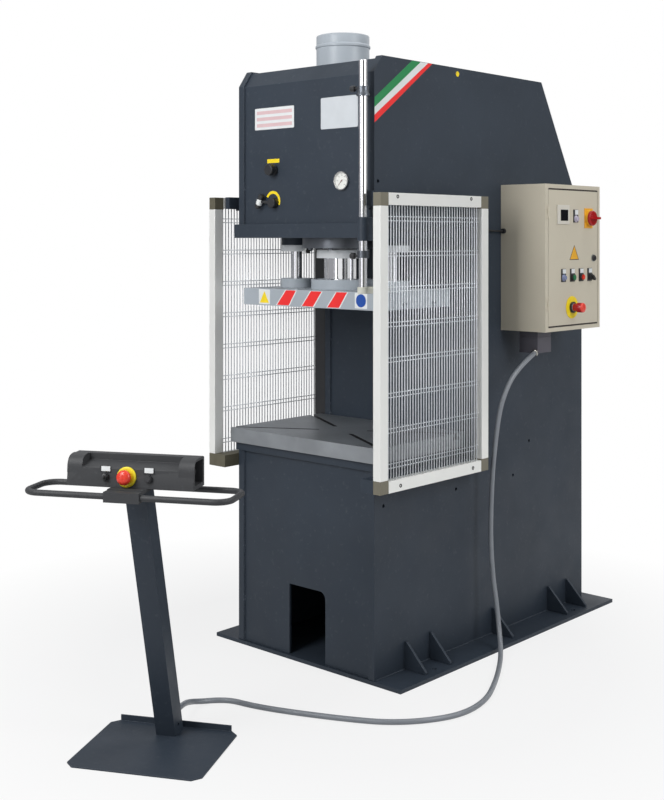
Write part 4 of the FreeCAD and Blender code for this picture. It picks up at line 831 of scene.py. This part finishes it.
WIRES = wire_tree()
print("welded mesh", len(WIRES.nodes), "nodes")
RODS, PAIRS, ROD_RADIUS, CROSS_RADIUS = 35, 8, 0.0025, 0.0019
FIRST_PAIR, PAIR_PITCH, PAIR_GAP = 0.834, 0.133, 0.016
for side, label in ((-1, "left"), (1, "right")):
    low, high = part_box(f"guard_mesh_{label}")
    middle = (low + high) / 2
    pitch = (high.y - low.y) / (RODS + 1)
    mesh = grown(f"guard_wires_{label}", WIRES, {
        "Rods": RODS, "Rod Step": (0, pitch, 0), "Rod Length": high.z - low.z,
        "First Rod": (middle.x + side * ROD_RADIUS, low.y + pitch, middle.z),
        "Pairs": PAIRS, "Pair Step": (0, 0, PAIR_PITCH), "Pair Gap": (0, 0, PAIR_GAP),
        "First Pair": (middle.x - side * ROD_RADIUS, middle.y, FIRST_PAIR),
        "Cross Length": high.y - low.y, "Radius": ROD_RADIUS, "Cross Radius": CROSS_RADIUS,
        "Finish": FINISHES["guard_wire"][0]})
    for face in mesh.data.polygons:
        face.use_smooth = len(face.vertices) == 4
    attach(mesh, "root")
    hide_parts(f"guard_mesh_{label}")

# %% [markdown]
# ## Weld beads
# The frame is welded from plates, and every inner corner carries a bead that looks like a row of
# overlapping coins. A resampled line gives evenly spaced points, and a small ball of slightly varying
# size stands on each. The balls overlap, so that only their rims show, as coins do.

# %% Lay the weld beads with Geometry Nodes
def bead_tree():
    tree, given, out = node_tree("weld_bead", [("Pitch", "Float"), ("Radius", "Float"),
                                               ("Seed", "Int"), ("Finish", "Material")])
    line = node(tree, "GeometryNodeMeshToCurve", [(0, given["Geometry"])])
    even = node(tree, "GeometryNodeResampleCurve", [(0, line.outputs[0]),
                                                    ("Length", given["Pitch"])], mode="LENGTH")
    coin = node(tree, "GeometryNodeMeshIcoSphere", [("Radius", given["Radius"]),
                                                    ("Subdivisions", 2)])
    size = node(tree, "FunctionNodeRandomValue", [(2, 0.82), (3, 1.12), (8, given["Seed"])],
                data_type="FLOAT")
    row = placed(tree, even.outputs[0], coin.outputs[0], Scale=size.outputs[1])
    return completed(tree, row, given["Finish"], out)


def seams(side):
    """The two ends of each seam on one side: along the head, the column, the throat and the foot."""
    x, foot_x = side * 0.3418, side * 0.3742
    front, top, foot = -0.7732, 2.3932, 0.0162
    return [((x, front, 1.757), (x, front, 2.330)), ((x, front, 0.017), (x, front, 0.809)),
            ((x, -0.2367, 0.906), (x, -0.2367, 1.698)), ((x, -0.725, top), (x, 0.379, top)),
            ((foot_x, -0.770, foot), (foot_x, 0.722, foot))]


runs = seams(-1) + seams(1)
seam_lines = bpy.data.meshes.new("seam_lines")
seam_lines.from_pydata([spot for run in runs for spot in run],
                       [(2 * i, 2 * i + 1) for i in range(len(runs))], [])
beads = grown("weld_beads", bead_tree(), {"Pitch": 0.0052, "Radius": 0.0034, "Seed": 7,
                                          "Finish": FINISHES["anthracite_paint"][1]}, seam_lines)
for face in beads.data.polygons:
    face.use_smooth = True
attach(beads, "root")

# %% [markdown]
# ## Screws
# The guard frames are screwed at their corners, and the cylinder's flange and the ram's middle boss each
# have a ring of eight. A screw is a short cylinder with a socket pressed into it, drawn once and placed
# on every point; the direction it faces is an input.

# %% Drive the screws with Geometry Nodes
def screw_tree():
    tree, given, out = node_tree("socket_screws", [
        ("Radius", "Float"), ("Height", "Float"), ("Facing", "Vector"), ("Finish", "Material")])
    head = node(tree, "GeometryNodeMeshCylinder", [("Vertices", 18), ("Radius", given["Radius"]),
                                                   ("Depth", given["Height"])])
    lip = node(tree, "GeometryNodeExtrudeMesh", [("Mesh", head.outputs[0]),
                                                 ("Selection", head.outputs[1]),
                                                 ("Offset Scale", 0.0)])
    small = node(tree, "GeometryNodeScaleElements", [("Geometry", lip.outputs[0]),
                                                     ("Selection", lip.outputs[1]),
                                                     ("Scale", 0.52)])
    depth = maths(tree, "MULTIPLY", given["Height"], -0.6)
    socket = node(tree, "GeometryNodeExtrudeMesh", [("Mesh", small.outputs[0]),
                                                    ("Selection", lip.outputs[1]),
                                                    ("Offset Scale", depth)])
    turn = node(tree, "FunctionNodeAlignRotationToVector", [("Vector", given["Facing"])], axis="Z")
    screw = placed(tree, given["Geometry"], socket.outputs[0], Rotation=turn.outputs[0])
    return completed(tree, screw, given["Finish"], out)


def screws(name, spots, radius, height, facing, finish, body="root"):
    points = bpy.data.meshes.new(f"{name}_points")
    points.from_pydata(spots, [], [])
    made = grown(name, SCREWS, {"Radius": radius, "Height": height, "Facing": facing,
                                "Finish": FINISHES[finish][0]}, points)
    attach(made, body)


def bolt_circle(radius, height):
    """Eight places round the cylinder's axis, the first at 22 degrees."""
    angles = [math.radians(22 + 45 * i) for i in range(8)]
    return [(radius * math.cos(a), CYLINDER_Y + radius * math.sin(a), height) for a in angles]


SCREWS = screw_tree()
GUARD_FACE = 0.4690
CORNERS = ((-0.757, 1.856), (-0.287, 1.858), (-0.740, 0.7665), (-0.275, 0.7685))
# The guard screws are near black and matt: painted shade that makes them read as dark holes.
for side, label in ((-1, "left"), (1, "right")):
    screws(f"guard_screws_{label}", [(side * GUARD_FACE, y, z) for y, z in CORNERS],
           0.0072, 0.0024, (side, 0, 0), "screw_black")
screws("gland_screws", bolt_circle(0.146, 1.658), 0.0105, 0.012, (0, 0, -1), "dark_steel")
screws("boss_screws", bolt_circle(0.122, 1.530), 0.0068, 0.006, (0, 0, 1), "dark_steel",
       "ram")

# %% [markdown]
# ## Turned trim
# A few small round things finish the controls: a white sleeve on the valve lever, which is a painted
# highlight standing in for the shine on its steel grip, the ring round the door lock, the glass of the
# gauge, two plugs in the cylinder's flange and the domed head of the console's emergency stop. Each is
# an outline turned once about its axis, given as pairs of a radius and a height in metres.

# %% Helpers for turned forms
def settle(form, place):
    """Puts a form in its place, with its faces outward."""
    bmesh.ops.transform(form, matrix=place, verts=form.verts)
    bmesh.ops.recalc_face_normals(form, faces=form.faces)


def turned(outline, place, closed=False, steps=40):
    """Turns (radius, height) points about their axis and puts the form in place."""
    form = bmesh.new()
    rings = [[form.verts.new((radius * math.cos(math.tau * i / steps),
                              radius * math.sin(math.tau * i / steps), height))
              for i in range(steps if radius else 1)] for radius, height in outline]
    for low, high in zip(rings, rings[1:] + (rings[:1] if closed else [])):
        for i in range(steps):
            j = (i + 1) % steps
            corners = [low[i % len(low)], low[j % len(low)], high[j % len(high)],
                       high[i % len(high)]]
            form.faces.new(list(dict.fromkeys(corners)))
    settle(form, place)
    shade(form)
    return form


def finished(name, form, finish, body):
    """Makes an object of a form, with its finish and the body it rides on."""
    piece = shown(name, mesh_of(name, form, FINISHES[finish][0]))
    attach(piece, body)
    return piece


def on_front(y, x=0.0, z=0.0):
    """A plane that faces the front: first axis right, second up, third towards the viewer."""
    return Matrix(((1, 0, 0, x), (0, 0, -1, y), (0, 1, 0, z), (0, 0, 0, 1)))


def on_right(x, y=0.0, z=0.0):
    """A plane that faces right: first axis back, second up, third outward."""
    return Matrix(((0, 0, 1, x), (1, 0, 0, y), (0, 1, 0, z), (0, 0, 0, 1)))

# %% [markdown]
# The pedestal stands turned towards the operator and the console's face leans back, so the console has a
# plane of its own. The stop's head is a touch rounder than the CAD piece that it stands in for.

# %% Turn the trim
PEDESTAL_SPOT, PEDESTAL_TURN = (0.208, -1.717, 0), math.radians(28)
PEDESTAL = Matrix.Translation(PEDESTAL_SPOT) @ Matrix.Rotation(PEDESTAL_TURN, 4, "Z")
CONSOLE_FOOT, TILT = (0, -0.206, 0.910), math.atan2(6, 59)
CONSOLE_FACE = (PEDESTAL @ Matrix.Translation(CONSOLE_FOOT)
                @ Matrix(((1, 0, 0, 0), (0, math.sin(TILT), -math.cos(TILT), 0),
                          (0, math.cos(TILT), math.sin(TILT), 0), (0, 0, 0, 1))))
LEVER_SPOT, LEVER_LEAN = (-0.2365, -0.792, 1.848), Matrix.Rotation(math.radians(26.6), 4, "Y")
LOCK_SPOT, STOP_SPOT, FLANGE_UNDERSIDE = (0.452, 1.612), (-0.0090, 0.0332, 0), 1.636
LEVER_HIGHLIGHT_OUTLINE = [(0, -0.0150), (0.0085, -0.0148), (0.0120, -0.0115), (0.0132, -0.006), (0.0132, 0.006),
          (0.0120, 0.0115), (0.0085, 0.0148), (0, 0.0150)]
LOCK_RING = [(0.0139, 0.0), (0.0165, 0.0), (0.0165, 0.0022), (0.0139, 0.0030)]
GLASS = [(0, 0.0098), (0.0329, 0.0098), (0.0329, 0.0108), (0, 0.0112)]
PLUG = [(0, 0.0), (0.0062, 0.0010), (0.0090, 0.0040), (0.0090, 0.0150), (0.0055, 0.0165),
        (0.0055, 0.0230), (0, 0.0230)]
DOME = [(0, 0.0060), (0.0134, 0.0060), (0.0134, 0.0180), (0.0222, 0.0190), (0.0236, 0.0215),
        (0.0238, 0.0255), (0.0226, 0.0300), (0.0198, 0.0338), (0.0155, 0.0364), (0.0100, 0.0380),
        (0, 0.0386)]

glass = Finish("gauge_glass", (1, 1, 1), 0.03)
glass.gloss(60, 0.02)
glass.shader.inputs["Alpha"].default_value = 0.10
FINISHES["glass"] = (glass.look,) * 2

# The white sleeve is a painted highlight: it stands in for the shine on the lever's steel grip.
finished("lever_highlight_sleeve", turned(LEVER_HIGHLIGHT_OUTLINE, Matrix.Translation(LEVER_SPOT) @ LEVER_LEAN),
         "white_moulding", "valve_control")
finished("lock_ring", turned(LOCK_RING, on_right(DOOR_FACE, *LOCK_SPOT), True), "zinc_plate",
         "door")
finished("gauge_glass", turned(GLASS, on_front(HEAD_FACE, GAUGE.x, GAUGE.z)), "glass", "root")
for label, x, y, finish in (("bright", -0.134, -0.622, "white_moulding"),
                            ("dark", -0.102, -0.643, "screw_black")):
    finished(f"flange_plug_{label}",
             turned(PLUG, Matrix.Translation((x, y, FLANGE_UNDERSIDE))),
             finish, "root")
stop_dome = finished("console_estop_dome",
                     turned(DOME, CONSOLE_FACE @ Matrix.Translation(STOP_SPOT)),
                     "red_plastic", BODY_OF["console_estop"])
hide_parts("console_estop")
print("console stop, top at", round(max(v.co.z for v in stop_dome.data.vertices), 4))

# %% [markdown]
# ## The gauge's scale
# The dial has a ring of ticks, every fifth one longer, and plain numbers. A line of points is bent into
# the ring by its index, so the tree's inputs are the count, the first angle and the step.

# %% Mark the dial with Geometry Nodes
def tick_tree():
    tree, given, out = node_tree("dial_ticks", [
        ("Count", "Int"), ("First Angle", "Float"), ("Angle Step", "Float"), ("Radius", "Float"),
        ("Centre", "Vector"), ("Size", "Vector"), ("Finish", "Material")])
    row = node(tree, "GeometryNodeMeshLine", [("Count", given["Count"])])
    index = node(tree, "GeometryNodeInputIndex")
    angle = maths(tree, "MULTIPLY_ADD", index.outputs[0], given["Angle Step"],
                  given["First Angle"])
    across, up = (maths(tree, "MULTIPLY", maths(tree, way, angle), given["Radius"])
                  for way in ("COSINE", "SINE"))
    spot = node(tree, "ShaderNodeCombineXYZ", [(0, across), (2, up)])
    moved = node(tree, "ShaderNodeVectorMath", [(0, spot.outputs[0]), (1, given["Centre"])],
                 operation="ADD")
    bent = node(tree, "GeometryNodeSetPosition", [("Geometry", row.outputs[0]),
                                                  ("Position", moved.outputs[0])])
    euler = node(tree, "ShaderNodeCombineXYZ", [(1, maths(tree, "MULTIPLY", angle, -1.0))])
    turn = node(tree, "FunctionNodeEulerToRotation", [(0, euler.outputs[0])])
    bar = node(tree, "GeometryNodeMeshCube", [("Size", given["Size"])])
    ticks = placed(tree, bent.outputs[0], bar.outputs[0], Rotation=turn.outputs[0])
    return completed(tree, ticks, given["Finish"], out)


TICKS = tick_tree()
FIRST_ANGLE, NUMBER_STEP, NUMBER_REACH, NUMBER_SIZE = 225, 45, 0.0215, 0.0062
for label, count, step, reach, size in (
        ("long", 7, NUMBER_STEP, 0.0292, (0.0052, 0.0004, 0.0010)),
        ("short", 31, NUMBER_STEP / 5, 0.0305, (0.0026, 0.0004, 0.0005))):
    marks = grown(f"dial_{label}_ticks", TICKS, {
        "Count": count, "First Angle": math.radians(FIRST_ANGLE), "Angle Step": -math.radians(step),
        "Radius": reach, "Centre": (GAUGE.x, -0.77665, GAUGE.z), "Size": size,
        "Finish": FINISHES["film_black"][0]})
    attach(marks, "root")


def number_form(text, size, place):
    """A number as a flat mesh, centred on the origin of place."""
    words = bpy.data.curves.new(f"number_{text}", "FONT")
    words.body = text
    words.size = size
    words.align_x = words.align_y = "CENTER"
    words.extrude = 0.00012
    words.resolution_u = 2
    holder = shown(f"number_{text}_curve", words)
    bpy.context.view_layer.update()
    mesh = bpy.data.meshes.new_from_object(
        holder.evaluated_get(bpy.context.evaluated_depsgraph_get()))
    bpy.data.objects.remove(holder)
    mesh.transform(place)
    return mesh


dial_form = bmesh.new()
for number in range(7):
    angle = math.radians(FIRST_ANGLE - NUMBER_STEP * number)
    dial_form.from_mesh(number_form(str(number * 50), NUMBER_SIZE, on_front(
        -0.7767, GAUGE.x + NUMBER_REACH * math.cos(angle), GAUGE.z + NUMBER_REACH * math.sin(angle))))
finished("dial_numbers", dial_form, "film_black", "root")

# %% [markdown]
# ## Plates, legends and stripes
# Thin film and engraved plates lie on the painted surfaces: legends over the buttons, a window in the
# display, an arc that shows the lever's range, and coloured bands. Each is a flat outline a fraction
# of a millimetre thick, so that its edge catches light as a real film's does.

# %% Helpers for flat outlines
def films(place, body, *rows):
    """Thin pieces on one face: each row gives a name, a thickness, a finish, a slot, which is not used,
    and outlines.
    """
    for name, thick, finish, slot, *outlines in rows:
        form = bmesh.new()
        for outline in outlines:
            low = [form.verts.new((u, v, 0)) for u, v in outline]
            high = [form.verts.new((u, v, thick)) for u, v in outline]
            walled(form, high, low)
        settle(form, place)
        finished(name, form, finish, body)


def walled(form, first, last):
    """Closes two equal loops of points with an end on each and walls between them."""
    form.faces.new(first)
    form.faces.new(last[::-1])
    for i in range(len(first)):
        j = (i + 1) % len(first)
        form.faces.new((last[i], last[j], first[j], first[i]))


def rectangle(left, right, low, high, corner=0.0):
    """A rectangle in metres; its corners are clipped by a small amount if asked."""
    if not corner:
        return [(left, low), (right, low), (right, high), (left, high)]
    return [(left + corner, low), (right - corner, low), (right, low + corner),
            (right, high - corner), (right - corner, high), (left + corner, high),
            (left, high - corner), (left, low + corner)]


def around(middle, radius, angles):
    """Points at the given angles round a middle."""
    return [(middle[0] + radius * math.cos(a), middle[1] + radius * math.sin(a)) for a in angles]


def arc(middle, inner, outer, start, end, steps=28):
    """A band along part of a circle."""
    angles = [math.radians(start + (end - start) * i / steps) for i in range(steps + 1)]
    return around(middle, outer, angles) + around(middle, inner, angles[::-1])


def disc(middle, radius, steps=40):
    return around(middle, radius, [math.tau * i / steps for i in range(steps)])


PLATE, BAND, PRINT, FILM, BACKING = 0.0008, 0.0006, 0.0005, 0.0004, 0.0003
print("film", round(FILM * 1000, 2), "mm, plate", round(PLATE * 1000, 2), "mm")

# %% [markdown]
# The head carries a bare plate, a label with three plain bands, a small legend and the lever's arc. The
# ram carries two labels with a plain triangle and a plain disc, and three slanted stripes between them.

# %% Stick the films on the head and the ram
WHITE, RED, YELLOW = "light_grey_paint", "red_plastic", "yellow_plastic"
films(on_front(HEAD_FACE), "root",
      ("head_plate", PLATE, "film_pale", WHITE, rectangle(0.090, 0.284, 2.129, 2.253, 0.004)),
      ("head_label", FILM, "film_white", WHITE, rectangle(-0.283, -0.058, 2.147, 2.236, 0.003)),
      ("head_label_bands", BAND, "film_pink", WHITE,
       *[rectangle(-0.272, -0.069, low, low + 0.014) for low in (2.158, 2.184, 2.210)]),
      ("pressure_legend", FILM, "film_yellow", YELLOW, rectangle(-0.211, -0.141, 2.008, 2.024)),
      ("lever_arc", FILM, "film_yellow", YELLOW, arc((-0.178, 1.851), 0.031, 0.042, -25, 152)))

STRIPES = ((-0.178, -0.111, -0.126, -0.070), (-0.036, 0.025, 0.014, 0.072),
           (0.103, 0.164, 0.152, 0.207))
BORDER = 0.006
films(on_front(RAM_FACE), "ram",
      ("ram_label", BACKING, "film_white", WHITE, rectangle(-0.284, -0.219, 1.425, 1.487, 0.002),
       rectangle(0.2475, 0.3105, 1.4265, 1.4875, 0.002)),
      ("ram_triangle", PRINT, "film_yellow", YELLOW,
       [(-0.278, 1.431), (-0.225, 1.431), (-0.2515, 1.480)]),
      ("ram_disc", PRINT, "film_blue", WHITE, disc((0.279, 1.457), 0.0255)),
      ("ram_stripe_borders", BACKING, "film_white", WHITE,
       *[[(a - BORDER, 1.424), (b + BORDER, 1.424), (d + BORDER, 1.487), (c - BORDER, 1.487)]
         for a, b, c, d in STRIPES]),
      ("ram_stripes", PRINT, "film_red", RED,
       *[[(a, 1.425), (b, 1.425), (d, 1.4865), (c, 1.4865)] for a, b, c, d in STRIPES]))
print(len(STRIPES), "stripes on the ram")

# %% [markdown]
# A broad band in three plain colours crosses the right side of the head. The cabinet door has a triangle
# with a dark rim, a dark window in its display and plain legends over the buttons, and the console has
# two small legends, each in a holder.

# %% Stick the films on the side, the door and the console
BAND_FRONT, BAND_TOP = (2.235, 2.198, 2.169, 2.139), (-0.550, -0.495, -0.448, -0.421)
FRONT_EDGE, TOP_EDGE = -0.7785, 2.3985
films(on_right(SIDE_FACE), "root",
      *[(f"side_stripe_{i}", FILM, finish, WHITE,
         [(FRONT_EDGE, BAND_FRONT[i + 1]), (BAND_TOP[i + 1], TOP_EDGE), (BAND_TOP[i], TOP_EDGE),
          (FRONT_EDGE, BAND_FRONT[i])])
        for i, finish in enumerate(("film_green", "film_white", "film_red"))],
      ("side_dot", FILM, "film_yellow", YELLOW, disc((-0.250, 2.375), 0.011)))

DISPLAY_FACE, HOLDER_FACE, BUTTON_ROW = 0.601, 0.599, (0.205, 0.2765, 0.3485, 0.421)
films(on_right(DOOR_FACE), "door",
      ("door_triangle_rim", BACKING, "film_black", YELLOW,
       [(0.2555, 1.6055), (0.3325, 1.6055), (0.294, 1.670)]),
      ("door_triangle", PRINT, "signal_yellow", YELLOW,
       [(0.2605, 1.6085), (0.3275, 1.6085), (0.294, 1.6645)]))
films(on_right(DISPLAY_FACE), "door", ("display_window", FILM, "window_black", "black_plastic",
                                       rectangle(0.177, 0.236, 1.773, 1.821, 0.002)))
films(on_right(HOLDER_FACE), "door", (
    "door_legends", FILM, "film_white", WHITE,
    *[rectangle(y - 0.0090, y + 0.0170, 1.5480, 1.5665) for y in BUTTON_ROW],
    rectangle(0.2960, 0.3220, 1.801, 1.8215)))

HOLDER = 0.0022
films(CONSOLE_FACE, "root", (
    "console_holders", HOLDER, "black_plastic", "black_plastic",
    *[rectangle(middle - 0.0185, middle + 0.0185, 0.0455, 0.0665, 0.002)
      for middle in (-0.082, 0.065)]))
films(CONSOLE_FACE @ Matrix.Translation((0, 0, HOLDER)), "root", (
    "console_legends", FILM, "film_white", WHITE, rectangle(-0.096, -0.066, 0.0490, 0.0645),
    rectangle(0.051, 0.081, 0.0490, 0.0650)))
print("band", round(BAND_FRONT[0] - BAND_FRONT[-1], 3), "m tall at the front")

# %% [markdown]
# ## Covers and strips
# The console is a moulded shell whose two ends run over the front edge in one soft curve. A strip that
# follows the curve covers each end, and a dark brown strip fills the gap above and below the cabinet
# door as painted shade, standing in for the shadow in the gap. Both are outlines given a depth along
# the piece. So is the dark end of the left guard's arm.

# %% Add the console's end covers, the arm's end and the painted shade strips in the door's gap
def extruded(parts, place):
    """Closed outlines in the second and third axes, each carried along the first between two ends."""
    form = bmesh.new()
    for outline, start, end in parts:
        near = [form.verts.new((start, v, w)) for v, w in outline]
        far = [form.verts.new((end, v, w)) for v, w in outline]
        walled(form, near, far)
    settle(form, place)
    shade(form)
    return form


CURVE = [(-0.2022, 0.950), (-0.2012, 0.962), (-0.2004, 0.972), (-0.1980, 0.9815),
         (-0.1935, 0.9905), (-0.1865, 0.9975), (-0.1770, 1.0022), (-0.1650, 1.0046),
         (-0.1500, 1.0054)]
BEND_STARTS = 0.975
INNER_CURVE = [(v + 0.0032, w - 0.0006) if w < BEND_STARTS else (v + 0.0024, w - 0.0028)
               for v, w in reversed(CURVE)]
COVER_ENDS = ((-0.2156, -0.1645), (0.1645, 0.2156))
STRIP_HEIGHTS = ((1.3213, 1.3276), (1.9044, 1.9106))
HERE = Matrix.Identity(4)
finished("console_end_covers",
         extruded([(CURVE + INNER_CURVE, start, end) for start, end in COVER_ENDS], PEDESTAL),
         "console_coat", "root")
finished("guard_arm_nose",
         extruded([(rectangle(-0.804, -0.739, 1.8222, 1.8716), -0.4284, -0.4050)], HERE),
         "anthracite_paint", "root")
# The strips in the door's gap are painted shade: their brown-black stands in for the shadow there.
finished("door_gap_shade_strips",
         extruded([(rectangle(0.0885, 0.4880, *span), 0.5820, 0.5966) for span in STRIP_HEIGHTS],
                  HERE), "gap_shade_brown", "root")
print(len(COVER_ENDS), "end covers,", len(STRIP_HEIGHTS), "rubber strips")
